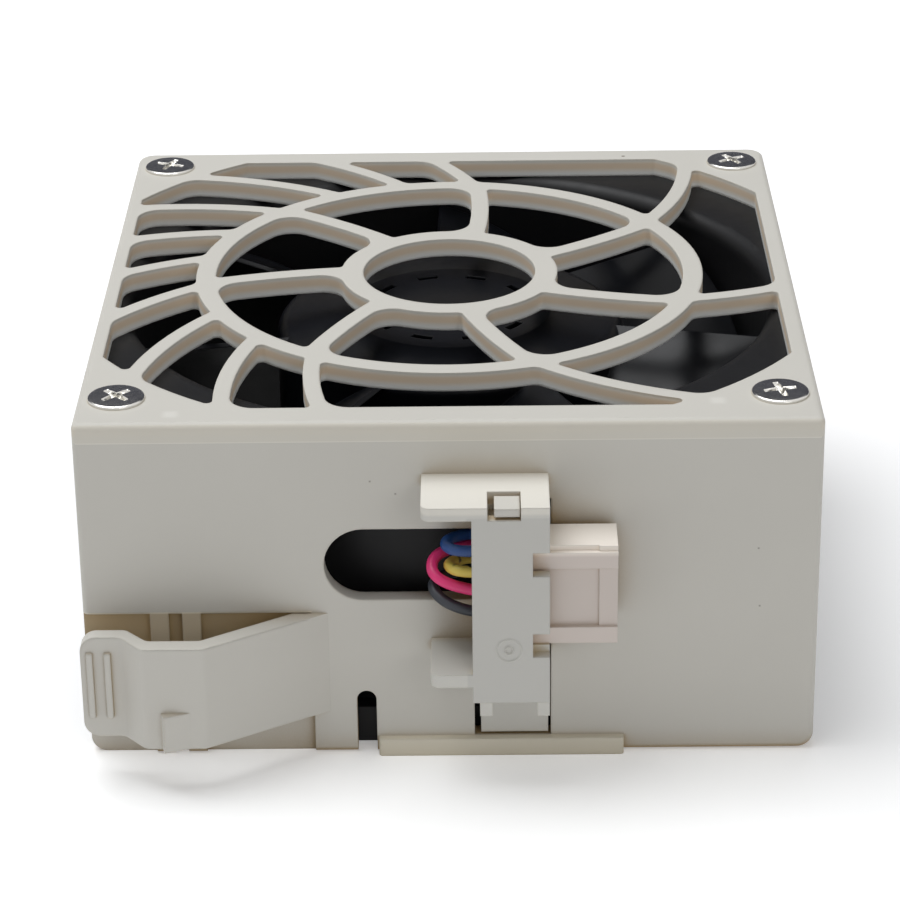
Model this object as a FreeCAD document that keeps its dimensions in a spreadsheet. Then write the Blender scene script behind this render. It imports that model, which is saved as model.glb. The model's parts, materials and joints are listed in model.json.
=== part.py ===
import FreeCAD, Part
import math
import os
import re
import Sketcher
from FreeCAD import Placement, Rotation, Vector

# Server fan module: an 80 mm axial fan screwed under the swirl grille of an L-shaped moulding,
# with a sprung latch arm and a 4-way connector on its front wall.
#
# Frame: the origin is on the fan axis in the exhaust plane, +Z towards the air intake, +Y away
# from the connector wall. All sizes are in millimetres and degrees.

DIMENSIONS = {
    "fan frame": {
        "fan_side": 80.0,
        "fan_depth": 38.0,
        "flange_height": 4.3,
        "hole_pitch": 71.5,
        "hole_diameter": 4.3,
        "corner_radius": 4.0,
        "duct_outer_radius": 38.9,
        "duct_radius": 37.4,
        "bell_radius": 1.8,
        "strut_count": 5,
        "strut_width": 3.2,
        "strut_height": 6.0,
        "lead_strut_angle": -62.0,
        "lead_strut_width": 5.6,
        "lead_strut_height": 9.0,
        "lead_channel_width": 3.6,
        "lead_channel_roof": 1.0,
        "lead_window_sill": 0.3,
    },
    "motor base": {
        "base_lip": 0.6,
        "base_floor": 1.8,
        "base_wall": 1.4,
        "base_height": 9.2,
        "tube_socket_wall": 1.6,
        "tube_socket_height": 2.0,
        "board_post_height": 1.2,
        "board_post_radius": 1.2,
        "board_post_inset": 1.4,
        "board_post_count": 3,
    },
    "housing": {
        "plate_thickness": 2.2,
        "plate_overhang": 1.0,
        "wall_thickness": 2.0,
        "wall_gap": 0.5,
        "plate_corner_radius": 2.0,
        "wall_corner_radius": 1.8,
        "outer_edge_radius": 0.7,
        "left_rim_width": 1.7,
        "right_rim_width": 2.05,
        "front_rim_width": 4.0,
        "back_rim_width": 3.8,
        "screw_land_radius": 5.16,
        "cut_overrun": 1.0,
    },
    "grille": {
        "hub_ring_inner": 10.1,
        "hub_ring_outer": 12.7,
        "outer_ring_inner": 27.4,
        "outer_ring_outer": 29.7,
        "inner_rib_count": 7,
        "inner_rib_angle": 75.5,
        "inner_rib_twist": 7.2,
        "inner_rib_bow": 0.25,
        "inner_rib_width": 2.1,
        "outer_rib_angle": 85.4,
        "outer_rib_twist": 0.97,
        "outer_rib_width": 1.85,
        "outer_rib_run": 10,
        "outer_rib_overrun": 6.6,
        "rib_overlap": 1.0,
        "leading_radius": 2.8,
        "trailing_radius": 0.6,
        "ring_radius": 1.4,
    },
    "screws": {
        "screw_head_radius": 3.1,
        "screw_head_height": 0.5,
        "screw_head_rounding": 0.35,
        "screw_shank_radius": 2.1,
        "screw_shank_length": 9.0,
        "screw_hole_clearance": 0.15,
        "screw_recess_depth": 0.6,
        "screw_recess_width": 0.8,
        "screw_recess_length": 3.6,
    },
    "wire slot": {
        "slot_left": 13.6,
        "slot_bottom": 19.0,
        "slot_height": 8.6,
        "relief_slot_left": 10.4,
        "relief_slot_width": 2.15,
        "relief_slot_top": 7.75,
    },
    "guide rail": {
        "rail_left": 8.05,
        "rail_length": 27.05,
        "rail_height": 2.1,
        "rail_depth": 0.95,
        "rail_end_radius": 0.4,
    },
    "latch": {
        "recess_right": 15.1,
        "recess_depth": 0.8,
        "recess_top": 17.55,
        "stop_rib_width": 2.05,
        "stop_rib_left": 32.7,
        "stop_rib_pitch": 3.5,
        "latch_bottom": 5.3,
        "latch_top": 17.45,
        "latch_root": 13.3,
        "latch_root_width": 3.9,
        "latch_ramp_length": 13.1,
        "latch_flat_length": 6.6,
        "latch_step_length": 2.5,
        "latch_tab_width": 4.4,
        "latch_knee_lag": 0.4,
        "latch_shoulder_lag": 0.4,
        "latch_tab_lag": 0.5,
        "latch_reach": 8.05,
        "latch_tab_reach": 5.15,
        "latch_thickness": 2.0,
        "latch_tab_thickness": 1.7,
        "latch_bend_radius": 1.2,
        "latch_tab_radius": 1.8,
        "catch_left": 31.2,
        "catch_width": 3.15,
        "catch_height": 4.4,
        "catch_proud": 1.0,
        "catch_rake": 0.35,
        "grip_rib_width": 0.7,
        "grip_rib_proud": 0.35,
        "grip_rib_bottom": 7.7,
        "grip_rib_top": 15.6,
        "grip_rib_inset": 0.65,
        "grip_rib_pitch": 1.95,
    },
    "bracket": {
        "bracket_left": 2.4,
        "bracket_right": 10.65,
        "bracket_top": 34.15,
        "bracket_reach": 8.5,
        "bracket_wall": 1.4,
        "bracket_shelf": 1.5,
        "front_plate_bottom": 10.9,
        "top_shelf_left": 2.9,
        "low_shelf_left": 2.1,
        "low_shelf_top": 14.3,
        "shelf_corner_radius": 1.0,
        "back_plate_left": 3.25,
        "back_plate_bottom": 2.4,
        "back_plate_top": 30.8,
        "back_plate_thickness": 1.1,
        "back_plate_setback": 0.1,
        "back_plate_gap_left": 0.7,
        "back_plate_gap": 0.3,
        "snap_window_left": 4.1,
        "snap_window_right": 7.6,
        "snap_window_depth": 4.0,
        "snap_window_drop": 1.4,
        "foot_width": 1.35,
        "foot_length": 1.95,
        "foot_depth": 0.8,
        "foot_inset": 0.75,
        "notch_depth": 1.8,
        "notch_height": 2.8,
        "upper_notch_bottom": 26.05,
        "lower_notch_bottom": 16.4,
        "web_thickness": 1.2,
    },
    "snap hook": {
        "hook_left": 4.8,
        "hook_width": 2.7,
        "hook_thickness": 1.2,
        "hook_clearance": 0.25,
        "hook_nose_length": 3.2,
        "hook_nose_drop": 0.25,
    },
    "connector": {
        "connector_left": 3.6,
        "connector_right": 17.9,
        "connector_bottom": 17.2,
        "connector_height": 11.4,
        "connector_front": 48.7,
        "connector_depth": 5.1,
        "key_rib_proud": 0.6,
        "key_rib_height": 1.9,
        "key_rib_setback": 0.6,
        "mouth_band": 2.0,
        "mouth_band_proud": 0.25,
        "contact_pitch": 2.54,
        "contact_count": 4,
        "cavity_width": 1.9,
        "contact_width": 1.3,
        "contact_start": 8.0,
        "contact_length": 8.0,
        "contact_wall": 0.25,
    },
    "leads": {
        "lead_diameter": 1.25,
        "lead_arc_share": 0.45,
        "lead_sway": 0.12,
        "lead_bend_inset": 1.5,
    },
    "impeller": {
        "hub_radius": 20.4,
        "hub_top": 35.6,
        "hub_crown_radius": 12.0,
        "hub_crown_drop": 1.2,
        "hub_shoulder_radius": 1.6,
        "hub_wall": 1.5,
        "hub_roof": 2.9,
        "hub_clearance": 0.6,
        "hub_slot_circle": 9.5,
        "hub_slot_width": 0.9,
        "hub_slot_span": 15.0,
        "hub_slot_depth": 0.7,
        "hub_slot_count": 10,
        "hub_slot_phase": 135.0,
        "blade_count": 7,
        "blade_thickness": 1.5,
        "blade_edge": 0.6,
        "blade_top": 34.2,
        "blade_height": 22.5,
        "blade_root_sweep": 15.0,
        "blade_tip_sweep": 28.0,
        "blade_camber": 3.2,
        "blade_tip_gap": 0.6,
        "blade_tip_overrun": 0.74,
        "blade_root_overrun": 2.55,
        "blade_phase": 20.0,
    },
    "rotor": {
        "yoke_wall": 1.2,
        "yoke_roof": 1.2,
        "yoke_inset": 0.7,
        "yoke_boss_wall": 2.1,
        "yoke_boss_height": 3.0,
        "magnet_wall": 2.0,
        "magnet_height": 14.5,
        "magnet_inset": 0.5,
        "shaft_radius": 1.5,
        "shaft_bottom": 3.1,
        "retainer_groove_depth": 0.3,
        "retainer_radius": 2.5,
        "retainer_thickness": 0.4,
        "retainer_drop": 0.1,
    },
    "bearings": {
        "bearing_radius": 4.0,
        "bearing_height": 4.0,
        "bearing_ring_wall": 0.7,
        "ball_radius": 0.8,
        "ball_count": 7,
        "race_clearance": 0.02,
        "lower_bearing_bottom": 4.4,
        "upper_bearing_bottom": 21.0,
        "tube_wall": 1.1,
        "tube_rim": 0.6,
        "tube_shoulder": 0.7,
        "spring_wire_radius": 0.25,
        "spring_radius": 1.9,
        "spring_turns": 3,
    },
    "stator": {
        "stator_bottom": 12.4,
        "stator_height": 8.0,
        "stator_air_gap": 0.7,
        "stator_ring_wall": 2.4,
        "stator_teeth": 6,
        "tooth_width": 2.6,
        "shoe_depth": 1.2,
        "shoe_span": 46.0,
        "insulator_wall": 0.5,
        "winding_wall": 1.7,
        "winding_gap": 0.5,
        "board_thickness": 1.2,
        "board_rim_gap": 1.0,
        "board_hole_gap": 0.3,
        "terminal_inset": 3.2,
        "terminal_depth": 2.4,
        "terminal_width": 4.6,
        "terminal_height": 4.0,
    },
}

# Leads: each wire leaves the terminal on the circuit board, runs in one of two layers along the
# channel of a strut, climbs between duct and wall, comes out of the wire slot round the edge of
# the bracket's back plate and turns into the connector. "side" and "level" place it in the
# channel, "route" lists its points from the duct window on, and "row" counts connector ways.
LEADS = {
    "blue": {
        "side": 0.78, "level": 6.9, "row": 3,
        "route": ((20.6, -36.6, 7.2), (22.4, -38.6, 11.0), (18.6, -39.3, 18.0), (10.8, -39.7, 24.0),
                  (4.8, -40.0, 25.9), (0.9, -41.0, 26.1), (-0.7, -43.4, 26.3), (0.4, -45.7, 26.5)),
    },
    "red": {
        "side": 0.78, "level": 5.35, "row": 1,
        "route": ((20.0, -36.8, 5.5), (20.4, -38.9, 9.0), (16.8, -39.3, 15.6), (10.9, -39.6, 21.8),
                  (5.0, -39.9, 24.4), (0.6, -40.8, 24.7), (-2.1, -42.8, 24.2), (-1.6, -45.3, 22.8)),
    },
    "yellow": {
        "side": -0.78, "level": 6.9, "row": 2,
        "route": ((18.5, -37.0, 7.4), (17.6, -38.9, 10.6), (13.9, -39.3, 16.0), (8.9, -39.7, 21.0),
                  (4.4, -40.0, 23.0), (1.2, -41.2, 23.3), (-0.3, -43.4, 23.8), (0.6, -45.7, 24.1)),
    },
    "black": {
        "side": -0.78, "level": 5.35, "row": 0,
        "route": ((18.3, -37.2, 5.5), (15.9, -38.9, 8.8), (11.8, -39.4, 14.0), (7.6, -39.7, 19.2),
                  (3.6, -40.1, 21.4), (-0.4, -41.4, 21.8), (-2.2, -43.8, 21.4), (-0.4, -45.9, 20.2)),
    },
}

ALIASES = {alias for sizes in DIMENSIONS.values() for alias in sizes}
UP = Vector(0, 0, 1)
SAME_LENGTH = 0.01
SAME_DIRECTION = 0.9999

doc = FreeCAD.newDocument("server_fan_module")
sheet = doc.addObject("Spreadsheet::Sheet", "dims")
nodes = {}


def fill_sheet():
    row = 0
    for group, sizes in DIMENSIONS.items():
        row += 1
        sheet.set(f"A{row}", group)
        for alias, number in sizes.items():
            row += 1
            sheet.set(f"A{row}", alias.replace("_", " "))
            sheet.set(f"B{row}", str(number))
            sheet.setAlias(f"B{row}", alias)
    doc.recompute()


def bound(expression):
    """An expression on aliases, written as one on the sheet's cells."""
    return re.sub(r"[a-z][a-z_]+", lambda word: "dims." * (word[0] in ALIASES) + word[0], str(expression))


def value(expression):
    """The number that an expression on aliases gives."""
    return float(sheet.evalExpression(bound(expression)))


# Lines of the housing and the motor that several pieces share

PLATE_TOP = "(fan_depth + plate_thickness)"
WALL_REAR = "(fan_side / 2 + wall_gap)"
WALL_FACE = "(fan_side / 2 + wall_gap + wall_thickness)"
RECESS_FACE = "(fan_side / 2 + wall_gap + wall_thickness - recess_depth)"
PLATE_BACK = "(fan_side / 2 + plate_overhang)"
WINDOW_LEFT = "(fan_side / 2 - left_rim_width)"
WINDOW_RIGHT = "(fan_side / 2 - right_rim_width)"
WINDOW_FRONT = "(fan_side / 2 + wall_gap + wall_thickness - front_rim_width)"
WINDOW_BACK = "(fan_side / 2 + plate_overhang - back_rim_width)"
WINDOW_ROUND = "(hole_pitch / sqrt(2) - screw_land_radius)"
LATCH_KNEE = "(latch_root + latch_ramp_length)"
LATCH_SHOULDER = "(latch_root + latch_ramp_length + latch_flat_length)"
LATCH_TAB = "(latch_root + latch_ramp_length + latch_flat_length + latch_step_length)"
LATCH_END = "(latch_root + latch_ramp_length + latch_flat_length + latch_step_length + latch_tab_width)"
BRACKET_FRONT = "(fan_side / 2 + wall_gap + wall_thickness + bracket_reach)"
BACK_PLATE_FRONT = "(fan_side / 2 + wall_gap + wall_thickness - back_plate_setback)"
BASE_RADIUS = "(hub_radius + base_lip)"
BOARD_RADIUS = "(hub_radius + base_lip - base_wall - board_rim_gap)"
BOARD_BOTTOM = "(base_floor + board_post_height)"
BOARD_TOP = "(base_floor + board_post_height + board_thickness)"
HUB_BOTTOM = "(base_height + hub_clearance)"
YOKE_TOP = "(hub_top - hub_roof)"
YOKE_RADIUS = "(hub_radius - hub_wall)"
YOKE_BOTTOM = "(base_height + hub_clearance + yoke_inset)"
BOSS_BOTTOM = "(hub_top - hub_roof - yoke_roof - yoke_boss_height)"
MAGNET_BORE = "(hub_radius - hub_wall - yoke_wall - magnet_wall)"
STATOR_RADIUS = "(hub_radius - hub_wall - yoke_wall - magnet_wall - stator_air_gap)"
TERMINAL_RADIUS = "(hub_radius + base_lip - base_wall - board_rim_gap - terminal_inset)"
TUBE_RADIUS = "(bearing_radius + tube_wall)"
TUBE_TOP = "(upper_bearing_bottom + bearing_height + tube_rim)"
RACE_CIRCLE = "((shaft_radius + bearing_radius) / 2)"
CHANNEL_FLOOR = "(flange_height + lead_window_sill)"
CHANNEL_ROOF = "(lead_strut_height - lead_channel_roof)"


# Building blocks whose sizes and places are expressions on the sheet

def place(obj, x="0", y="0", z="0"):
    for axis, expression in zip("xyz", (x, y, z)):
        obj.setExpression(f"Placement.Base.{axis}", bound(expression))
    return obj


def box(name, x, y, z):
    """A box between a low and a high expression along each axis."""
    obj = doc.addObject("Part::Box", name)
    for prop, (low, high) in zip(("Length", "Width", "Height"), (x, y, z)):
        obj.setExpression(prop, bound(f"({high}) - ({low})"))
    return place(obj, x[0], y[0], z[0])


def cylinder(name, radius, low, high, x="0", y="0"):
    """An upright cylinder between two heights."""
    obj = doc.addObject("Part::Cylinder", name)
    obj.setExpression("Radius", bound(radius))
    obj.setExpression("Height", bound(f"({high}) - ({low})"))
    return place(obj, x, y, low)


def cylinder_along_y(name, radius, low, high, x, z):
    """A cylinder along +Y between two depths."""
    obj = doc.addObject("Part::Cylinder", name)
    obj.Placement = Placement(Vector(), Rotation(Vector(1, 0, 0), -90))
    obj.setExpression("Radius", bound(radius))
    obj.setExpression("Height", bound(f"({high}) - ({low})"))
    return place(obj, x, low, z)


def fuse(name, *parts):
    obj = doc.addObject("Part::MultiFuse", name)
    obj.Shapes = list(parts)
    obj.Refine = True
    return obj


def cut(name, base, *tools):
    obj = doc.addObject("Part::Cut", name)
    obj.Base = base
    obj.Tool = tools[0] if len(tools) == 1 else fuse(name + "_tools", *tools)
    obj.Refine = True
    return obj


def group(name, parts):
    """Equal pieces that are handed in together."""
    obj = doc.addObject("Part::Compound", name)
    obj.Links = list(parts)
    return obj


def turned(name, obj, angle):
    """A piece turned about the fan axis by an expression in degrees."""
    copy = doc.addObject("Part::Compound", name)
    copy.Links = [obj]
    copy.Placement = Placement(Vector(), Rotation(UP, value(angle)))
    copy.setExpression("Placement.Rotation.Angle", bound(angle))
    return copy


def tube(name, outer, inner, low, high):
    return cut(name, cylinder(name + "_outer", outer, low, high), cylinder(name + "_bore", inner, low, high))


def feature(name, shape):
    """A piece whose form no primitive or sketch gives, worked out from the sheet's values."""
    obj = doc.addObject("Part::Feature", name)
    obj.Shape = shape
    return obj


def fillet(name, base, radius, chosen):
    """Round the edges of a piece that a test picks, by a radius of the sheet."""
    doc.recompute()
    obj = doc.addObject("Part::Fillet", name)
    obj.Base = base
    rounding = value(radius)
    obj.Edges = [(number, rounding, rounding)
                 for number, edge in enumerate(base.Shape.Edges, 1) if chosen(edge)]
    return obj


def straight(edge, axis):
    """Does this edge run straight along the axis?"""
    if edge.Curve.TypeId != "Part::GeomLine":
        return False
    start, end = edge.Vertexes
    return abs((end.Point - start.Point).normalize().dot(axis)) > SAME_DIRECTION


def near(first, second):
    """Are two lengths the same within a hundredth of a millimetre?"""
    return abs(first - second) < SAME_LENGTH


def node(name, obj):
    """Hand in an object as one named piece of the module."""
    obj.Label = name
    nodes[name] = obj
    return obj


def sketch(body, name, role, points, offset="0"):
    """A closed outline of straight runs on an origin plane, each corner tied to two expressions."""
    obj = body.newObject("Sketcher::SketchObject", name)
    plane = next(item for item in body.Origin.OriginFeatures if item.Role == role)
    obj.AttachmentSupport = [(plane, "")]
    obj.MapMode = "FlatFace"
    obj.setExpression("AttachmentOffset.Base.z", bound(offset))
    spots = [Vector(value(x), value(y), 0) for x, y in points]
    count = len(spots)
    for here in range(count):
        obj.addGeometry(Part.LineSegment(spots[here], spots[(here + 1) % count]))
    for here in range(count):
        obj.addConstraint(Sketcher.Constraint("Coincident", here, 2, (here + 1) % count, 1))
    for here, corner in enumerate(points):
        for kind, expression in zip(("DistanceX", "DistanceY"), corner):
            number = obj.addConstraint(Sketcher.Constraint(kind, -1, 1, here, 1, value(expression)))
            obj.setExpression(f"Constraints[{number}]", bound(expression))
    return obj


def pad(body, outline, length, middle=False):
    obj = body.newObject("PartDesign::Pad", outline.Name + "_pad")
    obj.Profile = outline
    obj.Midplane = middle
    obj.setExpression("Length", bound(length))
    return obj


def turned_body(name, points):
    """A body of revolution about the fan axis, from an outline of radius and height."""
    body = doc.addObject("PartDesign::Body", name)
    outline = sketch(body, name + "_outline", "XZ_Plane", points)
    turn = body.newObject("PartDesign::Revolution", name + "_turn")
    turn.Profile = outline
    turn.ReferenceAxis = (outline, ["V_Axis"])
    turn.Angle = 360
    return body


# Fan frame: two square flanges with four holes, a round duct and the motor base on struts

def fan_frame():
    half = "fan_side / 2"
    flanges = []
    for name, low, high in (("exhaust_flange", "0", "flange_height"),
                            ("intake_flange", "fan_depth - flange_height", "fan_depth")):
        square = box(name + "_square", (f"-{half}", half), (f"-{half}", half), (low, high))
        flanges.append(fillet(name, square, "corner_radius", lambda edge: straight(edge, UP)))
    duct = cylinder("duct_wall", "duct_outer_radius", "0", "fan_depth")
    bore = cylinder("duct_bore", "duct_radius", "0", "fan_depth")
    holes = [cylinder(f"frame_hole_{index}", "hole_diameter / 2", "0", "fan_depth", x, y)
             for index, (x, y) in enumerate(corner_places())]
    shell = cut("frame_shell", fuse("frame_outside", duct, *flanges), bore, *holes)

    def intake_rim(edge):
        return near(edge.BoundBox.ZMin, value("fan_depth")) and near(edge.BoundBox.XMax, value("duct_radius"))

    belled = fillet("frame_belled", shell, "bell_radius", intake_rim)
    struts = [exhaust_strut(index) for index in range(int(value("strut_count")))]
    base = motor_base()
    channel = turned("lead_channel", box(
        "lead_channel_box", (f"{BASE_RADIUS} - base_wall - cut_overrun", "duct_outer_radius + cut_overrun"),
        ("-lead_channel_width / 2", "lead_channel_width / 2"), (CHANNEL_FLOOR, CHANNEL_ROOF)),
        "lead_strut_angle")
    return node("fan_frame", cut("frame", fuse("frame_with_base", belled, base, *struts), channel))


def corner_places():
    """The four screw places of the 80 mm fan, as expressions."""
    return [(f"{x} * hole_pitch / 2", f"{y} * hole_pitch / 2") for x in (-1, 1) for y in (-1, 1)]


def exhaust_strut(index):
    """One bar from the motor base to the duct. The first one is wider and carries the leads."""
    width = "strut_width" if index else "lead_strut_width"
    height = "strut_height" if index else "lead_strut_height"
    bar = box(f"strut_bar_{index}", (f"{BASE_RADIUS} - base_wall", "(duct_radius + duct_outer_radius) / 2"),
              (f"-{width} / 2", f"{width} / 2"), ("0", height))
    return turned(f"strut_{index}", bar, f"lead_strut_angle + {index} * 360 / strut_count")


def motor_base():
    """The cup that holds the circuit board, with the socket of the bearing tube."""
    cup = cut("base_cup", cylinder("base_outside", BASE_RADIUS, "0", "base_height"),
              cylinder("base_inside", f"{BASE_RADIUS} - base_wall", "base_floor", "base_height"))
    socket = tube("tube_socket", f"{TUBE_RADIUS} + tube_socket_wall", TUBE_RADIUS,
                  "base_floor", "base_floor + tube_socket_height")
    posts = [turned(f"board_post_{index}", cylinder(
        f"board_post_pin_{index}", "board_post_radius", "base_floor", BOARD_BOTTOM,
        f"{BOARD_RADIUS} - board_post_inset"),
        f"lead_strut_angle + (0.5 + {index}) * 360 / board_post_count")
        for index in range(int(value("board_post_count")))]
    return fuse("motor_base", cup, socket, *posts)


# Housing: intake plate and connector wall in one moulding

def housing():
    body = doc.addObject("PartDesign::Body", "housing_shell")
    outline = sketch(body, "housing_outline", "YZ_Plane", (
        (f"-{WALL_FACE}", "0"), (f"-{WALL_REAR}", "0"), (f"-{WALL_REAR}", "fan_depth"),
        (PLATE_BACK, "fan_depth"), (PLATE_BACK, PLATE_TOP), (f"-{WALL_FACE}", PLATE_TOP)))
    pad(body, outline, "fan_side", middle=True)

    def plate_corner(edge):
        return straight(edge, UP) and near(edge.BoundBox.YMin, value(PLATE_BACK))

    def wall_corner(edge):
        return straight(edge, Vector(0, 1, 0)) and near(edge.BoundBox.ZMax, 0)

    def outer_edge(edge):
        box_of = edge.BoundBox
        front = near(box_of.YMax, -value(WALL_FACE)) and not near(box_of.ZMin, 0)
        side = near(box_of.ZMin, value(PLATE_TOP)) and not near(box_of.YMin, value(PLATE_BACK))
        return front or side

    squared = fillet("housing_back_corners", body, "plate_corner_radius", plate_corner)
    rounded = fillet("housing_wall_corners", squared, "wall_corner_radius", wall_corner)
    softened = fillet("housing_outer_edges", rounded, "outer_edge_radius", outer_edge)
    rail = guide_rail()
    bare = fuse("housing_bare", softened, rail, *snap_hook())
    holes = [cylinder(f"plate_hole_{index}", "screw_shank_radius + screw_hole_clearance",
                      "fan_depth", PLATE_TOP, x, y) for index, (x, y) in enumerate(corner_places())]
    grille = feature("grille_openings", Part.makeCompound(grille_cells()))
    opened = cut("housing_opened", bare, *wall_openings(), *holes)
    return node("housing", cut("housing_moulding", opened, grille))


def wall_openings():
    """The wire slot, the bracket's window, the relief slot and the latch recess."""
    wall = (f"-{WALL_FACE}", f"-{WALL_REAR}")
    window_left = "back_plate_left - back_plate_gap_left"
    slot_top = "slot_bottom + slot_height"
    slot_end = cylinder_along_y("wire_slot_end", "slot_height / 2", *wall,
                                "slot_height / 2 - slot_left", "slot_bottom + slot_height / 2")
    slot = box("wire_slot", ("slot_height / 2 - slot_left", window_left), wall, ("slot_bottom", slot_top))
    window = box("bracket_window", (window_left, "bracket_right + back_plate_gap"), wall,
                 ("back_plate_bottom - back_plate_gap", "back_plate_top + back_plate_gap"))
    relief_middle = "relief_slot_width / 2 - relief_slot_left"
    relief_round = "relief_slot_top - relief_slot_width / 2"
    relief = box("relief_slot", ("-relief_slot_left", "relief_slot_width - relief_slot_left"), wall,
                 ("0", relief_round))
    relief_end = cylinder_along_y("relief_slot_end", "relief_slot_width / 2", *wall,
                                  relief_middle, relief_round)
    edges = ("fan_side / 2", "stop_rib_left", "stop_rib_left - stop_rib_width",
             "stop_rib_left - stop_rib_pitch", "stop_rib_left - stop_rib_pitch - stop_rib_width",
             "recess_right")
    pockets = [box(f"latch_pocket_{index}", (f"-({left})", f"-({right})"),
                   (f"-{WALL_FACE} - cut_overrun", f"-{RECESS_FACE}"), ("0", "recess_top"))
               for index, (left, right) in enumerate(zip(edges[::2], edges[1::2]))]
    return [slot_end, slot, window, relief, relief_end] + pockets


def guide_rail():
    """The low rail under the connector that guides the module into its slot."""
    bar = box("guide_rail_bar", ("-rail_left", "rail_length - rail_left"),
              (f"-{WALL_FACE} - rail_depth", f"-{WALL_FACE}"), ("0", "rail_height"))

    def front_end(edge):
        return straight(edge, UP) and near(edge.BoundBox.YMin, -value(WALL_FACE) - value("rail_depth"))

    return fillet("guide_rail", bar, "rail_end_radius", front_end)


def snap_hook():
    """The finger under the bracket's top shelf, whose nose comes up through the snap window."""
    across = ("hook_left", "hook_left + hook_width")
    top = "bracket_top - bracket_shelf - hook_clearance"
    behind_plate = f"-({BRACKET_FRONT} - bracket_wall - hook_clearance)"
    nose_rear = f"-{BRACKET_FRONT} + hook_clearance + hook_nose_length"
    nose_top = "bracket_top - hook_nose_drop"
    lip_bottom = "bracket_top - snap_window_drop + hook_clearance"
    arm = box("hook_arm", across, (behind_plate, f"-{WALL_FACE}"), (f"{top} - hook_thickness", top))
    neck = box("hook_neck", across, (behind_plate, nose_rear), (top, nose_top))
    nose_front = f"-{BRACKET_FRONT} + hook_clearance"
    lip = box("hook_lip", across, (nose_front, behind_plate), (lip_bottom, nose_top))
    return [arm, neck, lip]


# Swirl grille: seven curved ribs between hub ring and outer ring, thirteen from there to the frame

def polar(radius, angle):
    return Vector(radius * math.cos(math.radians(angle)), radius * math.sin(math.radians(angle)), 0)


def curved_rib(spots, width):
    """A bar through the plate whose centre line is the arc through three points."""
    circle = Part.Arc(*spots).toShape().Curve
    centre = circle.Center
    sides = []
    for offset in (-width / 2, width / 2):
        moved = [centre + (spot - centre) * (1 + offset / circle.Radius) for spot in spots]
        sides.append(Part.Arc(*moved))
    ends = [Part.LineSegment(sides[0].StartPoint, sides[1].StartPoint),
            Part.LineSegment(sides[0].EndPoint, sides[1].EndPoint)]
    outline = Part.Wire(Part.__sortEdges__([edge.toShape() for edge in sides + ends]))
    bar = Part.Face(outline).extrude(UP * value("plate_thickness"))
    bar.translate(UP * value("fan_depth"))
    return bar


def inner_rib(index):
    """A rib from the hub ring to the outer ring, leaning by the twist and bowed a little."""
    inside = value("hub_ring_outer")
    outside = value("outer_ring_inner")
    start = value("inner_rib_angle") + index * 360 / value("inner_rib_count")
    slope = value("inner_rib_twist") / (outside - inside)
    middle = (inside + outside) / 2
    overlap = value("rib_overlap")
    spots = [polar(radius, start + slope * (radius - inside) + bow) for radius, bow in
             ((inside - overlap, 0), (middle, value("inner_rib_bow")), (outside + overlap, 0))]
    return curved_rib(spots, value("inner_rib_width"))


def outer_rib_angles():
    """Where the outer ribs start: a full run at a third of the inner pitch, then one of three."""
    pitch = 360 / value("inner_rib_count") / 3
    first = value("outer_rib_angle")
    run = int(value("outer_rib_run"))
    steps = list(range(run)) + list(range(-3, run - 3 * int(value("inner_rib_count")), -3))
    return [first + pitch * step for step in steps]


def outer_rib(start):
    """A rib from the outer ring to the frame that leans by an equal angle per millimetre."""
    inside = value("outer_ring_outer")
    outside = value(WINDOW_ROUND)
    radii = (inside - value("rib_overlap"), (inside + outside) / 2, outside + value("outer_rib_overrun"))
    spots = [polar(radius, start + value("outer_rib_twist") * (radius - inside)) for radius in radii]
    return curved_rib(spots, value("outer_rib_width"))


def plate_disc(radius):
    return Part.makeCylinder(radius, value("plate_thickness"), UP * value("fan_depth"))


def corner_spots(cell):
    """Where the upright edges of an opening stand."""
    return [edge.Vertexes[0].Point for edge in cell.Edges if straight(edge, UP)]


def rounded_cell(cell, rounding_of):
    """Round the upright edges of one opening, each by its own radius."""
    cell = cell.removeSplitter()
    chosen = {}
    for spot in corner_spots(cell):
        chosen.setdefault(rounding_of(cell, spot), []).append((spot.x, spot.y))
    for radius, places in chosen.items():
        edges = [edge for edge in cell.Edges if straight(edge, UP) and any(
            near(math.hypot(edge.Vertexes[0].X - x, edge.Vertexes[0].Y - y), 0) for x, y in places)]
        cell = cell.makeFillet(radius, edges)
    return cell


def lead_angle(cell, spot):
    """How far a corner lies ahead of the middle of its opening, in degrees."""
    middle = cell.CenterOfMass
    ahead = math.degrees(math.atan2(spot.y, spot.x) - math.atan2(middle.y, middle.x))
    return (ahead + 180) % 360 - 180


def inner_corner(cell, spot):
    """Inner openings are wide and round behind one rib and close to square before the next."""
    return value("leading_radius") if lead_angle(cell, spot) < 0 else value("trailing_radius")


def outer_corner(cell, spot):
    """Outer openings: round behind a rib at the frame, and on the far side at the ring."""
    if near(math.hypot(spot.x, spot.y), value("outer_ring_outer")):
        return value("trailing_radius") if lead_angle(cell, spot) < 0 else value("ring_radius")
    leads = sorted(lead_angle(cell, corner) for corner in corner_spots(cell)
                   if not near(math.hypot(corner.x, corner.y), value("outer_ring_outer")))
    return value("leading_radius") if near(lead_angle(cell, spot), leads[0]) else value("trailing_radius")


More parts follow.
